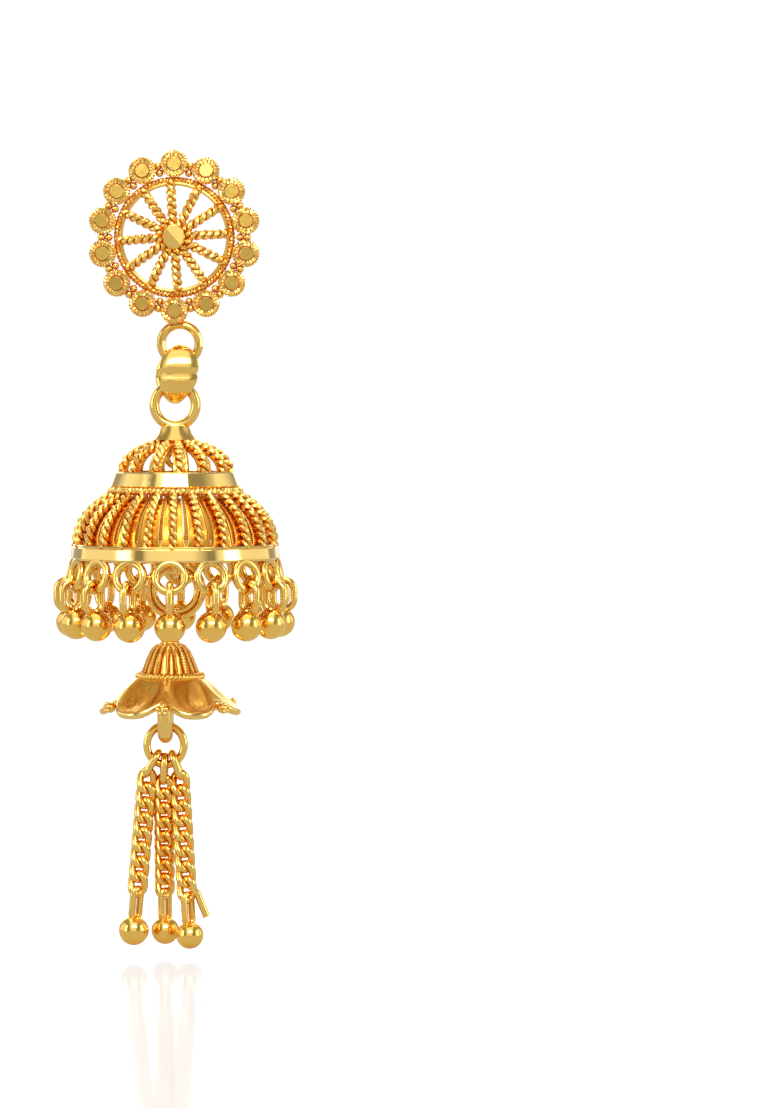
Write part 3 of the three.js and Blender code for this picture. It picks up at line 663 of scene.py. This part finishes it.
# Connector: a wide bail, narrow where it takes each ring, with a groove across its front between
# two soft ridges. It is one gold casting, polished by hand.
connector_turn = math.radians(6)
connector_low, connector_high = (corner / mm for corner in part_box("connector"))
connector_middle = (connector_low.z + connector_high.z) / 2
connector_half_height = (connector_high.z - connector_low.z) / 2
connector_wall = 0.98
connector_half_depth = 1.58
connector_plate = 0.58
connector_half_width = 1.7
connector_neck = 0.36
connector_back = 0.78
connector_top_curve = 1.2
connector_foot_curve = 1.9
connector_back_curve = 1.6
connector_groove = 0.2
connector_groove_width = 0.13
connector_groove_pinch = 0.1
connector_back_shift = -0.45
connector_stations = 48
section_corners = 14
section_outer_curve = 0.8
section_inner_curve = 1.5
section_face_curve = 0.9

bail = bmesh.new()
outlines = []
for i in range(connector_stations):
    turn = 2 * math.pi * i / connector_stations
    up = math.cos(turn)
    out = math.sin(turn)
    if out > 0:
        curve = connector_top_curve if up > 0 else connector_foot_curve
        swell = connector_neck + (1 - connector_neck) * out**curve
        in_groove = math.exp(-((up / connector_groove_width) ** 2))
    else:
        swell = connector_neck + (connector_back - connector_neck) * (-out) ** connector_back_curve
        in_groove = 0.0
    half = connector_half_width * swell * (1 - connector_groove_pinch * in_groove)
    lean = upper_ring_shift / 2 * (1 + up) + connector_back_shift * max(0.0, -out) ** 2
    outline = []
    for j in range(section_corners):
        outward = math.cos(2 * math.pi * j / section_corners)
        sideward = math.sin(2 * math.pi * j / section_corners)
        bulge = section_outer_curve if outward > 0 else section_inner_curve
        across = math.copysign(abs(sideward) ** bulge, sideward) * half
        thick = 0.5 + 0.5 * math.copysign(abs(outward) ** section_face_curve, outward)
        groove = connector_groove * in_groove * thick
        depth = connector_half_depth - connector_plate * (1 - thick) - groove
        height = connector_half_height - connector_wall * (1 - thick)
        outline.append(bail.verts.new((lean + across, -depth * out, connector_middle + height * up)))
    ring_edges = [
        bail.edges.new((outline[j], outline[(j + 1) % section_corners]))
        for j in range(section_corners)
    ]
    outlines.append(ring_edges)
for i in range(connector_stations):
    bmesh.ops.bridge_loops(bail, edges=outlines[i] + outlines[(i + 1) % connector_stations])
bmesh.ops.recalc_face_normals(bail, faces=bail.faces)
add_piece(
    "connector_bail",
    "link",
    cast_gold,
    [(to_mesh(bail), spun(connector_turn, "Z"))],
    ["connector"],
    60,
)

# Bell top: a soldered ring, a small turned cap, and thirteen two-strand ropes that fan out from
# it to the upper band, each soldered along a flat strip that curves under it.
ring_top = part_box("bell")[1].z / mm
lower_ring_radius = 1.7
lower_ring_wire = 0.42
lower_ring_level = ring_top - lower_ring_wire - lower_ring_radius
cap_top = lower_ring_level - lower_ring_radius
cap_height = 1.15
cap_foot = cap_top - cap_height
crown_wires = 13
crown_first = math.radians(8.7)
crown_height = 2.6
crown_strand = 0.21
crown_turns = 4
crown_steps = 12
crown_from, crown_to = -4, 84
crown_strip_half_width = 0.56
crown_strip_depth = 0.3
crown_strip_thickness = 0.18
upper_band_top = cap_foot - crown_height
upper_band_radius = 4.93
crown_inset = 0.46
crown_top_drop = 0.18
crown_reach = upper_band_radius - crown_inset


def flat_strip(edge_lines, thickness):
    """A flat strip between two lines of points, with its thickness behind them."""
    shape = bmesh.new()
    for line in edge_lines:
        rail = [shape.verts.new(point) for point in line]
        for pair in zip(rail, rail[1:]):
            shape.edges.new(pair)
    bmesh.ops.bridge_loops(shape, edges=shape.edges[:])
    bmesh.ops.solidify(shape, geom=shape.faces[:], thickness=thickness)
    bmesh.ops.recalc_face_normals(shape, faces=shape.faces)
    return to_mesh(shape)


cap = to_mesh(
    turned(
        [
            (0, cap_top + 0.12),
            (0.85, cap_top + 0.1),
            (1.14, cap_top - 0.02),
            (1.26, cap_top - 0.25),
            (1.42, cap_top - 0.65),
            (1.72, cap_foot + 0.12),
            (1.8, cap_foot),
            (1.72, cap_foot - 0.12),
            (1.5, cap_foot - 0.2),
            (0, cap_foot - 0.2),
        ],
        48,
    )
)
lower_ring = wires([upright_circle(lower_ring_radius, 48)], lower_ring_wire, True, 14)
add_piece(
    "bell_cap",
    "bell_body",
    cast_gold,
    [(cap, as_made), (lower_ring, shift(0, 0, lower_ring_level))],
    ["bell"],
)
crown_line = []
for i in range(crown_steps + 1):
    turn = math.radians(crown_from + (crown_to - crown_from) * i / crown_steps)
    out = crown_reach * math.cos(turn)
    rise = (crown_height - crown_top_drop) * math.sin(turn)
    crown_line.append(Vector((0, -out, upper_band_top + rise)))
crown_rope = wires(
    strands(crown_line, facing_side, crown_strand, crown_turns, per_turn=16), crown_strand
)
crown_edges = [[], []]
for point in crown_line:
    level = point.z - crown_strip_depth * (point.z - upper_band_top) / crown_height
    for edge, side in zip(crown_edges, (-1, 1)):
        edge.append((side * crown_strip_half_width, point.y + crown_strip_depth, level))
crown_strip = flat_strip(crown_edges, crown_strip_thickness)
crown_copies = []
for i in range(crown_wires):
    crown_turn = spun(crown_first + 2 * math.pi * i / crown_wires)
    crown_copies += [(crown_rope, crown_turn), (crown_strip, crown_turn)]
add_piece("bell_crown", "bell_body", rope_gold, crown_copies, ["bell"])

# Bands: two hoops of thick gold, diamond-cut in long flat facets that flash one by one, with a
# rope soldered under the upper one. The lower one has a fine cut line along its top.
upper_band_height = 1.25
upper_band_flare = 0.45
upper_band_cuts = 12
upper_band_cut_depth = 0.1
upper_band_first_cut = math.radians(-1)
upper_band_foot = upper_band_top - upper_band_height
collar_wire = 0.34
collar_strand = 0.52 * collar_wire
collar_turns = 42
collar_level = upper_band_foot - collar_wire
collar_circle = upper_band_radius + collar_wire
dome_radius = 8.54
dome_height = 4.35
lower_band_top = collar_level - dome_height
lower_band_height = 1.35
lower_band_foot = lower_band_top - lower_band_height
lower_band_flare = 0.2
lower_band_cuts = 9
lower_band_cut_depth = 0.16
lower_band_first_cut = math.radians(4)
lower_band_wall = 0.98


def cut_band(profile, cuts, depth, first):
    """A hoop whose outer face is cut in equal facets; first is where one facet's middle is."""
    hoop = turned(profile, cuts * 12)
    inside = min(radius for radius, level in profile) + 0.05
    half = math.pi / cuts
    for vert in hoop.verts:
        reach = math.hypot(vert.co.x, vert.co.y)
        if reach > inside:
            turn = math.atan2(vert.co.x, -vert.co.y) - first
            off = (turn + half) % (2 * half) - half
            trim = depth * (1 - (off / half) ** 2)
            vert.co.x *= 1 - trim / reach
            vert.co.y *= 1 - trim / reach
    return to_mesh(hoop)


upper_band = cut_band(
    [
        (upper_band_radius - 0.55, upper_band_top - 0.05),
        (upper_band_radius - 0.45, upper_band_top),
        (upper_band_radius - 0.04, upper_band_top),
        (upper_band_radius + 0.06, upper_band_top - 0.12),
        (upper_band_radius + upper_band_flare, upper_band_foot + 0.1),
        (upper_band_radius + upper_band_flare - 0.06, upper_band_foot),
        (upper_band_radius - 0.3, upper_band_foot - 0.1),
        (upper_band_radius - 0.55, upper_band_foot),
        (upper_band_radius - 0.55, upper_band_top - 0.05),
    ],
    upper_band_cuts,
    upper_band_cut_depth,
    upper_band_first_cut,
)
lower_band = cut_band(
    [
        (dome_radius - lower_band_wall, lower_band_top),
        (dome_radius - 0.02, lower_band_top),
        (dome_radius + 0.06, lower_band_top - 0.1),
        (dome_radius + 0.01, lower_band_top - 0.2),
        (dome_radius + 0.09, lower_band_top - 0.28),
        (dome_radius + lower_band_flare, lower_band_foot + 0.25),
        (dome_radius + lower_band_flare - 0.06, lower_band_foot + 0.08),
        (dome_radius + lower_band_flare - 0.2, lower_band_foot),
        (dome_radius - 0.3, lower_band_foot),
        (dome_radius - 0.4, lower_band_foot + 0.1),
        (dome_radius - lower_band_wall, lower_band_top),
    ],
    lower_band_cuts,
    lower_band_cut_depth,
    lower_band_first_cut,
)
# Painted shade reaches 5 mm on the bands, darkening their colour where nearby parts shelter them.
cut_gold = gold(
    "diamond_cut_gold", (0.89, 0.66, 0.22), shade_and_patch_gold, 0.06, 0.12, 0.0015, 150.0, painted_shade_occlusion=5.0
)
add_piece(
    "bell_bands",
    "bell_body",
    cut_gold,
    [(upper_band, as_made), (lower_band, as_made)],
    ["bell"],
    12,
)
collar = wires(
    strands(
        circle(collar_circle, 120, collar_level),
        facing_up,
        collar_wire - collar_strand,
        collar_turns,
        closed=True,
    ),
    collar_strand,
    closed=True,
)
add_piece("bell_collar", "bell_body", rope_gold, [(collar, as_made)], ["bell"])

# Ribs: twenty-four flat gold strips bent to the dome, each with a rope soldered along its outside
# and a beaded wire down each edge. They are set by hand, so the back ones stand a little apart.
rib_count = 24
rib_first = math.radians(1.5)
rib_seam = math.radians(5)
rib_share = 0.4
rib_foot_flare = 0.2
rib_foot_length = 0.16
rib_rope_depth = 0.36
rib_strip_depth = 0.72
rib_strip_thickness = 0.24
rib_strand = 0.19
rib_bead_wire = 0.075
dome_curve = 5.69
rib_steps = 18
rib_turns = 4
rib_foot_bury = 0.15
bead_steps = 84
bead_pattern = [1.0, 0.92, 0.55]
bead_rise = 0.02
rib_start = math.asin(dome_height / dome_curve)


def dome_line(depth, side, steps=rib_steps):
    """Points down the dome at a depth under its skin, aside by a share of the ribs' spacing."""
    line = []
    for i in range(steps + 1):
        turn = rib_start * (1 - i / steps)
        out = (dome_radius - depth) * math.cos(turn)
        flare = 1 + rib_foot_flare * max(0, 1 - (1 - i / steps) / rib_foot_length) ** 2
        aside = side * flare * out * 2 * math.pi / rib_count
        line.append(Vector((aside, -out, lower_band_top + (dome_curve - depth) * math.sin(turn))))
    line.append(line[-1] - Vector((0, 0, rib_foot_bury)))
    return line


def rib_angle(i):
    """A rib's place round the bell, from the front towards the right."""
    from_front = 2 * min(i, rib_count - i) / rib_count
    return rib_first + 2 * math.pi * i / rib_count + rib_seam * from_front


rib_rope = wires(
    strands(dome_line(rib_rope_depth, 0), facing_side, rib_strand, rib_turns, per_turn=16),
    rib_strand,
)
rib_strip = flat_strip(
    [dome_line(rib_strip_depth, side * rib_share) for side in (-1, 1)], rib_strip_thickness
)
edge_wires = wires(
    [dome_line(rib_strip_depth - bead_rise, side * rib_share, bead_steps) for side in (-1, 1)],
    rib_bead_wire,
    False,
    6,
    bead_pattern,
)
# The strips' gold is more orange than the ropes', and its painted shade reaches 4 mm, deepening the
# colour where ropes and far ribs shelter it.
strip_gold = gold(
    "rolled_strip_gold", (0.90, 0.53, 0.08), shade_and_patch_gold, 0.22, 0.32, 0.003, 250.0, painted_shade_occlusion=4.0
)
rib_places = [spun(rib_angle(i)) for i in range(rib_count)]
add_piece(
    "bell_strips",
    "bell_body",
    strip_gold,
    [(rib_strip, place) for place in rib_places],
    ["bell"],
)
add_piece(
    "bell_ropes",
    "bell_body",
    rope_gold,
    [(part, place) for part in (rib_rope, edge_wires) for place in rib_places],
    ["bell"],
)

# Loops: sixteen rings of round wire soldered under the lower band, leaning outwards, with a grain
# between each two that keeps them apart. The eye pin inside is bent from one wire.
loop_count = 16
loop_radius = 1.18
loop_wire = 0.235
loop_thick = 0.34
loop_tilt = math.radians(12)
loop_bury = 0.3
loop_inset = 0.2
loop_level = lower_band_foot + loop_bury - loop_wire - loop_radius * math.cos(loop_tilt)
loop_circle = dome_radius + lower_band_flare - loop_inset - loop_wire
loop_grain = 0.27
loop_grain_inset = 0.1
hanger_wire = 0.24
hanger_eye = 0.84
hanger_upper_eye = 0.62
hanger_shank = 0.72
hanger_eye_drop = 0.5
hanger_shank_wire = 1.2 * hanger_wire
hanger_pin_wire = 1.1 * hanger_wire
hanger_upper_level = cap_foot - hanger_shank - hanger_upper_eye - hanger_wire
hanger_eye_level = lower_band_foot - hanger_eye_drop

loop = wires([upright_circle(loop_radius, 32)], loop_thick, True, 12)
hang = shift(0, -loop_circle - loop_radius * math.sin(loop_tilt), loop_level)
grain_place = hang @ shift(0, loop_grain_inset, 0) @ Matrix.Scale(loop_grain, 4)
loop_copies = []
for i in range(loop_count):
    turn = spun(2 * math.pi * i / loop_count)
    loop_copies.append((loop, turn @ hang @ spun(-loop_tilt, "X")))
    between = spun(2 * math.pi * (i + 0.5) / loop_count)
    loop_copies.append((grain, between @ grain_place))
pin_shank = wires(
    [[Vector((0, 0, cap_foot)), Vector((0, 0, hanger_upper_level + hanger_upper_eye))]],
    hanger_shank_wire,
    False,
    10,
)
pin_long = wires(
    [
        [
            Vector((0, 0, hanger_upper_level - hanger_upper_eye)),
            Vector((0, 0, hanger_eye_level + hanger_eye)),
        ]
    ],
    hanger_pin_wire,
    False,
    10,
)
upper_eye = wires([upright_circle(hanger_upper_eye, 32)], hanger_wire, True, 10)
lower_eye = wires([upright_circle(hanger_eye, 32)], hanger_wire, True, 10)
loop_copies += [
    (pin_shank, as_made),
    (pin_long, as_made),
    (upper_eye, shift(0, 0, hanger_upper_level)),
    (lower_eye, shift(0, 0, hanger_eye_level) @ spun(math.pi / 2)),
]
wire_gold = gold("drawn_wire_gold", (0.88, 0.62, 0.17), shade_and_patch_gold, 0.1, 0.18, 0.003, 400.0)
add_piece("bell_loops", "bell_body", wire_gold, loop_copies, ["bell"])

# Ball drops: sixteen polished hollow balls, each soldered to a long eye of wire that hangs
# in its own loop, with a small soldered collar where the wire meets the ball.
drop_thick = 0.3
drop_eye_half_width = 0.86
drop_eye_length = 2.4
drop_eye_excess = 0.03
drop_eye_sunk = 0.22
drop_eye_out = 0.12
drop_ball_in = 0.2
drop_ball_radius = 1.27
drop_collar_radius = 0.3
drop_collar_wire = 0.12
drop_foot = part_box("drop_01")[0].z / mm
drop_ball_level = drop_foot + drop_ball_radius
drop_eye_middle = drop_ball_level + drop_ball_radius - drop_eye_sunk + drop_eye_length / 2
drop_circle = loop_circle + 2 * loop_radius * math.sin(loop_tilt)


def link_line(half_width, half_length, twist=0.0, count=36):
    """A closed link of wire along Z: two straight sides, two round ends, twisted end to end."""
    side = 2 * (half_length - half_width)
    bend = math.pi * half_width
    line = []
    for i in range(count):
        reach = (2 * (side + bend) * i / count + side + bend / 2) % (2 * (side + bend))
        sign = 1 if reach < side + bend else -1
        reach %= side + bend
        across = half_width
        along = reach - side / 2
        if reach > side:
            across = half_width * math.cos((reach - side) / half_width)
            along = side / 2 + half_width * math.sin((reach - side) / half_width)
        turn = twist * sign * along / half_length
        line.append(
            Vector((sign * across * math.cos(turn), sign * across * math.sin(turn), sign * along))
        )
    return line


def ball(radius):
    """A ball turned on the Z axis."""
    turns = [math.pi * i / 20 for i in range(21)]
    return to_mesh(turned([(radius * math.sin(a), -radius * math.cos(a)) for a in turns], 36))


eye_line = link_line(drop_eye_half_width, drop_eye_length / 2 + drop_eye_excess)
drop_eye = wires([eye_line], drop_thick, True, 10)
drop_ball = ball(drop_ball_radius)
drop_collar = wires([circle(drop_collar_radius, 20, drop_ball_radius - 0.04)], drop_collar_wire, True)
eye_hang = shift(0, -drop_circle - drop_eye_out, drop_eye_middle) @ spun(math.pi / 2)
ball_hang = shift(0, -drop_circle + drop_ball_in, drop_ball_level)
eye_copies = []
ball_copies = []
for i in range(loop_count):
    turn = spun(2 * math.pi * i / loop_count)
    eye_copies.append((drop_eye, turn @ eye_hang))
    ball_copies += [(drop_ball, turn @ ball_hang), (drop_collar, turn @ ball_hang)]
ball_gold = gold("polished_ball_gold", (0.92, 0.60, 0.14), shade_and_patch_gold, 0.07, 0.14, 0.002, 300.0)
drop_names = [f"drop_{i + 1:02d}" for i in range(loop_count)]
add_piece("drop_eyes", "bell_body", wire_gold, eye_copies, drop_names)
add_piece("drop_balls", "bell_body", ball_gold, ball_copies, drop_names)

# Inner ring: two turns of round wire side by side, closed on the eye pin inside the bell.
# It joins the bell to the flower cap and swings freely.
inner_low, inner_high = (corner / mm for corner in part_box("inner_ring"))
inner_level = (inner_low.z + inner_high.z) / 2
inner_outside = (inner_high.z - inner_low.z) / 2
inner_wire = 0.26
inner_overlap = 0.03
inner_turns = [
    upright_circle(inner_outside - inner_wire, 48),
    upright_circle(inner_outside - 3 * inner_wire + inner_overlap, 48),
]
add_piece(
    "inner_ring_turns",
    "tassel",
    wire_gold,
    [(wires(inner_turns, inner_wire, True, 12), shift(0, 0, inner_level))],
    ["inner_ring"],
)

# Flower bud: a fluted gold dome with a beaded wire down each flute, a rope round its foot, and a
# turned neck and wire eye on top. All are soldered to each other and to the petals below.
flower_shift = -0.45
flower_turn = math.radians(-4)
flower_low, flower_high = (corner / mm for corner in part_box("flower_cap"))
flower_wire = 0.24
flower_eye = 0.84
eye_level = flower_high.z - flower_eye - flower_wire
neck_top = eye_level - flower_eye
neck_height = 1.6
bud_top = neck_top - neck_height
bud_height = 2.65
bud_foot = bud_top - bud_height
bud_radius = 2.53
bud_crown_radius = 0.72
bud_skin_share = 0.95
bud_rise_share = 0.96
bud_spread_power = 0.72
bud_fall_power = 1.25
bud_steps = 14
bud_flutes = 18
bud_flute_depth = 0.13
bud_rope_strand = 0.18
bud_rope_turns = 24
string_steps = 46
string_wire = 0.15
string_beads = [1.0, 0.85, 0.5]
placed = shift(flower_shift, 0, 0) @ spun(flower_turn)


def bud_skin(part):
    """Radius and height of the bud's skin at a share of the way out."""
    spread = (bud_radius * bud_skin_share - bud_crown_radius) * part**bud_spread_power
    rise = math.cos(part * math.pi / 2) ** bud_fall_power
    return bud_crown_radius + spread, bud_foot + bud_height * rise * bud_rise_share


bud_profile = [(0, bud_top + 0.1), (0.5, bud_top + 0.08), (bud_crown_radius, bud_top - 0.02)]
bud_profile += [bud_skin(i / bud_steps) for i in range(1, bud_steps + 1)]
bud_profile += [(bud_radius * 0.9, bud_foot - 0.3), (0, bud_foot - 0.3)]
bud = turned(bud_profile, bud_flutes * 6)
for vert in bud.verts:
    reach = math.hypot(vert.co.x, vert.co.y)
    share_down = (bud_top - vert.co.z) / bud_height
    if reach > bud_crown_radius + 0.03 and 0.02 < share_down < 0.98:
        turn = math.atan2(vert.co.y, vert.co.x)
        wave = 0.5 - 0.5 * math.cos(bud_flutes * turn)
        trim = bud_flute_depth * wave * min(1, 4 * share_down)
        vert.co.x *= 1 - trim / reach
        vert.co.y *= 1 - trim / reach
neck = to_mesh(
    turned(
        [
            (0, neck_top + 0.1),
            (0.35, neck_top + 0.06),
            (0.52, neck_top - 0.08),
            (0.56, neck_top - 0.3),
            (0.46, neck_top - 0.5),
            (0.62, neck_top - 0.66),
            (0.72, neck_top - 0.86),
            (0.62, neck_top - 1.04),
            (0.55, neck_top - 1.15),
            (0.72, neck_top - 1.36),
            (0.84, neck_top - 1.55),
            (0.8, neck_top - 1.72),
            (0, neck_top - 1.72),
        ],
        36,
    )
)
foot_line = circle(bud_radius + 0.02, 72, bud_foot)
bud_rope = wires(
    strands(foot_line, facing_up, bud_rope_strand - 0.01, bud_rope_turns, closed=True),
    bud_rope_strand,
    closed=True,
)
string_line = []
for i in range(3, string_steps):
    radius, level = bud_skin(i / string_steps)
    string_line.append(Vector((0, -radius - 0.02, level)))
string = wires([string_line], string_wire, False, 6, string_beads)
flower_ring = wires([upright_circle(flower_eye, 32)], flower_wire, True, 10)
bud_copies = [
    (to_mesh(bud), placed),
    (neck, placed),
    (flower_ring, placed @ shift(0, 0, eye_level) @ spun(math.pi / 2)),
    (bud_rope, placed),
]
for i in range(bud_flutes):
    bud_copies.append((string, placed @ spun(2 * math.pi * (i + 0.5) / bud_flutes + math.pi / 2)))
bud_gold = gold("fluted_bud_gold", (0.88, 0.61, 0.16), shade_and_patch_gold, 0.12, 0.26, 0.004, 500.0)
add_piece("flower_bud", "tassel", bud_gold, bud_copies, ["flower_cap"], 50)

# Petals: six broad petals dished from thin gold sheet, with one thick polished wire along their
# rim. Grains are soldered in each notch, and a bail of heavy wire hangs from the bud's underside.
petal_count = 6
petal_reach = 5.55
petal_notch = 4.55
petal_notch_power = 3.2
petal_slope = 0.88
petal_curl = 0.45
petal_dish = 0.85
petal_sheet = 0.22
petal_wire = 0.33
petal_wire_drop = 0.06
petal_overlap = 0.22
petal_inner = bud_radius - petal_overlap
petal_rows = 8
petal_steps = petal_count * 20


def petal_edge(angle):
    """The flower's outline: how far the rim reaches at an angle from the front."""
    across = abs(math.cos(petal_count * angle / 2))
    return petal_reach + (petal_notch - petal_reach) * across**petal_notch_power


def petal_level(reach, angle):
    """The height of the petals' upper face, dished in the middle of each petal."""
    middle = 1 - math.cos(petal_count * angle / 2) ** 2
    part = (reach - petal_inner) / (petal_edge(angle) - petal_inner)
    dish = petal_dish * middle * math.sin(math.pi * min(1, max(0, part)))
    fall = petal_slope * (petal_edge(angle) - petal_inner)
    return bud_foot - fall * ((1 - petal_curl) * part + petal_curl * part * part) - dish


skirt = bmesh.new()
spine = [skirt.verts.new((0, -petal_inner - row, 0)) for row in range(petal_rows + 1)]
spine_edges = [skirt.edges.new(pair) for pair in zip(spine, spine[1:])]
bmesh.ops.spin(
    skirt,
    geom=spine + spine_edges,
    cent=(0, 0, 0),
    axis=(0, 0, 1),
    angle=2 * math.pi,
    steps=petal_steps,
    use_merge=True,
)
for vert in skirt.verts:
    row = math.hypot(vert.co.x, vert.co.y) - petal_inner
    angle = math.atan2(vert.co.x, -vert.co.y)
    reach = petal_inner + (petal_edge(angle) - petal_inner) * row / petal_rows
    vert.co = (
        reach * math.sin(angle),
        -reach * math.cos(angle),
        petal_level(reach, angle),
    )
bmesh.ops.recalc_face_normals(skirt, faces=skirt.faces)
bmesh.ops.solidify(skirt, geom=skirt.faces[:], thickness=petal_sheet)
bmesh.ops.recalc_face_normals(skirt, faces=skirt.faces)
# The petals' deep tone is the painted shade in their sheltered dished hollows, less red than the other
# gold's.
petal_gold = gold(
    "dished_petal_gold", (0.91, 0.63, 0.15), (0.82, 0.42, 0.04), 0.16, 0.24, 0.0006, 120.0, 900.0
)
add_piece(
    "flower_petals",
    "tassel",
    petal_gold,
    [(to_mesh(skirt), placed)],
    ["flower_cap"],
    70,
)
rim_line = []
for i in range(petal_steps):
    angle = 2 * math.pi * i / petal_steps
    reach = petal_edge(angle)
    level = petal_level(reach, angle) - petal_wire_drop
    rim_line.append(Vector((reach * math.sin(angle), -reach * math.cos(angle), level)))
rim_wire = wires([rim_line], petal_wire, True, 10)
bail_wire = 0.62
bail_half_width = 1.07
bail_bury = 0.3
bail_shift = -0.85
bail_top = bud_foot + bail_bury
bail_foot = flower_low.z
bail_half_length = (bail_top - bail_foot) / 2 - bail_wire
bail_loop = wires([link_line(bail_half_width, bail_half_length)], bail_wire, True, 14)
bail_place = shift(bail_shift, 0, bail_foot + bail_wire + bail_half_length) @ spun(math.pi / 2)
rim_copies = [(rim_wire, placed), (bail_loop, bail_place)]
grain_circle = 4.75
grain_level = bud_foot - (grain_circle - petal_inner) * petal_slope
# Each large grain's radius, and how far it is out from the grain circle and below its level.
large_grains = [(0.36, -0.02, 0.02), (0.46, 0.58, 0.3)]
# Each small grain's place beside and above the outer large one.
small_grains = [(-0.34, 0.1), (0.34, 0.12), (-0.2, -0.26), (0.24, -0.22), (0.02, 0.3)]
small_grain_radius = 0.2
small_grain_out = 0.3
for i in range(petal_count):
    turn = placed @ spun(2 * math.pi * i / petal_count)
    for radius, out, down in large_grains:
        notch = turn @ shift(0, -grain_circle - out, grain_level - down)
        rim_copies.append((grain, notch @ Matrix.Scale(radius, 4)))
    for across, rise in small_grains:
        small_place = notch @ shift(across, -small_grain_out, rise)
        rim_copies.append((grain, small_place @ Matrix.Scale(small_grain_radius, 4)))
rim_gold = gold("petal_rim_gold", (0.89, 0.64, 0.20), shade_and_patch_gold, 0.09, 0.2, 0.004, 300.0)
add_piece("flower_rim", "tassel", rim_gold, rim_copies, ["flower_cap"])

# Chain ring: one plain oval ring of round wire through the bail, its ends soldered shut.
# The three chains hang side by side on its lowest wire.
oval_low, oval_high = (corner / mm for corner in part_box("chain_ring"))
oval_middle = (oval_low + oval_high) / 2
oval_wire = 0.33
oval_half_width = (oval_high.x - oval_low.x) / 2 - oval_wire
oval_half_height = (oval_high.z - oval_low.z) / 2 - oval_wire
oval_line = [
    Vector((oval_half_width * math.sin(turn), 0, oval_half_height * math.cos(turn)))
    for turn in (2 * math.pi * i / 56 for i in range(56))
]
add_piece(
    "chain_ring_oval",
    "tassel",
    wire_gold,
    [(wires([oval_line], oval_wire, True, 14), shift(*oval_middle))],
    ["chain_ring"],
)

# Chains: three short curb chains of gold wire, each of a first link on the oval ring, eight links
# twisted flat, a long eye and a polished ball. A cut end of wire stands out from the right one.
link_wire = 0.31
link_half_width = 0.55
link_count = 8
link_twist = math.radians(-48)
link_crossing = 0.37
link_hold = 2 * link_wire * 0.9
first_half_width = 0.72
first_half_length = 1.08
ball_eye_half_width = 0.4
ball_eye_length = 2.5
ball_eye_wire = 0.29
ball_eye_sunk = 0.24
ball_eye_crossing = 0.407
hook_play = 0.12
cut_end_share = 0.9
cut_end_line = [
    Vector((0.3, 0, -0.1)),
    Vector((0.62, 0, -0.55)),
    Vector((0.88, 0, -0.82)),
    Vector((1.0, 0, -1.3)),
    Vector((1.28, 0, -2.1)),
    Vector((1.5, 0, -2.75)),
]
# Each chain's node, its place round the oval ring and the lean of its first link in degrees, its
# ball's radius, and the ball's place to the side of, before and below the oval ring.
chain_strands = [
    ("chain_left", -50, -30, 1.24, -2.66, 0.0, 13.755),
    ("chain_middle", -4, -3, 1.16, -0.14, -1.55, 13.95),
    ("chain_right", 46, 20, 1.14, 1.99, 0.4, 14.103),
]
chain_gold = gold("curb_link_gold", (0.87, 0.60, 0.16), shade_and_patch_gold, 0.1, 0.2, 0.004, 500.0)
first_link = wires([link_line(first_half_width, first_half_length)], link_wire, True, 12)
ball_eye = wires([link_line(ball_eye_half_width, ball_eye_length / 2)], ball_eye_wire, True, 10)
for name, ring_turn, fan, ball_radius, aside, forward, fall in chain_strands:
    ring_angle = math.radians(ring_turn)
    lean = math.radians(fan)
    slope = math.atan2(
        oval_half_height * math.sin(ring_angle), oval_half_width * math.cos(ring_angle)
    )
    grip = oval_wire + hook_play + link_wire
    hook = Vector(
        (
            oval_middle.x + oval_half_width * math.sin(ring_angle) - grip * math.sin(slope),
            0,
            oval_middle.z - oval_half_height * math.cos(ring_angle) + grip * math.cos(slope),
        )
    )
    first_place = shift(*hook) @ spun(-lean, "Y") @ shift(0, 0, -first_half_length)
    copies = [(first_link, first_place @ spun(math.pi / 2))]
    first_fall = 2 * first_half_length - link_crossing
    start = hook + Vector((first_fall * math.sin(lean), 0, -first_fall * math.cos(lean)))
    ball_middle = Vector((oval_middle.x + aside, -forward, oval_middle.z - oval_half_height - fall))
    way = ball_middle - start
    eye_depth = way.length - ball_radius - ball_eye_length / 2 + ball_eye_sunk
    run = eye_depth - ball_eye_length / 2 + ball_eye_crossing - link_crossing
    pitch = run / link_count
    half_length = (pitch + link_hold) / 2
    curb = wires([link_line(link_half_width, half_length, link_twist)], link_wire, True, 10)
    down = Vector((0, 0, -1)).rotation_difference(way).to_matrix().to_4x4()
    for i in range(link_count):
        depth = link_crossing / 2 + (i + 0.5) * pitch
        copies.append((curb, shift(*(start + way.normalized() * depth)) @ down))
    eye_place = shift(*(start + way.normalized() * eye_depth)) @ down
    copies.append((ball_eye, eye_place @ spun(math.pi / 4)))
    if name == "chain_right":
        depth = link_crossing / 2 + run * cut_end_share
        cut_end = wires([cut_end_line], link_wire, False, 10)
        copies.append((cut_end, shift(*(start + way.normalized() * depth)) @ down))
    add_piece(f"{name}_links", "tassel", chain_gold, copies, [name])
    ball_copy = (ball(ball_radius), shift(*ball_middle))
    add_piece(f"{name}_ball", "tassel", ball_gold, [ball_copy], [name])
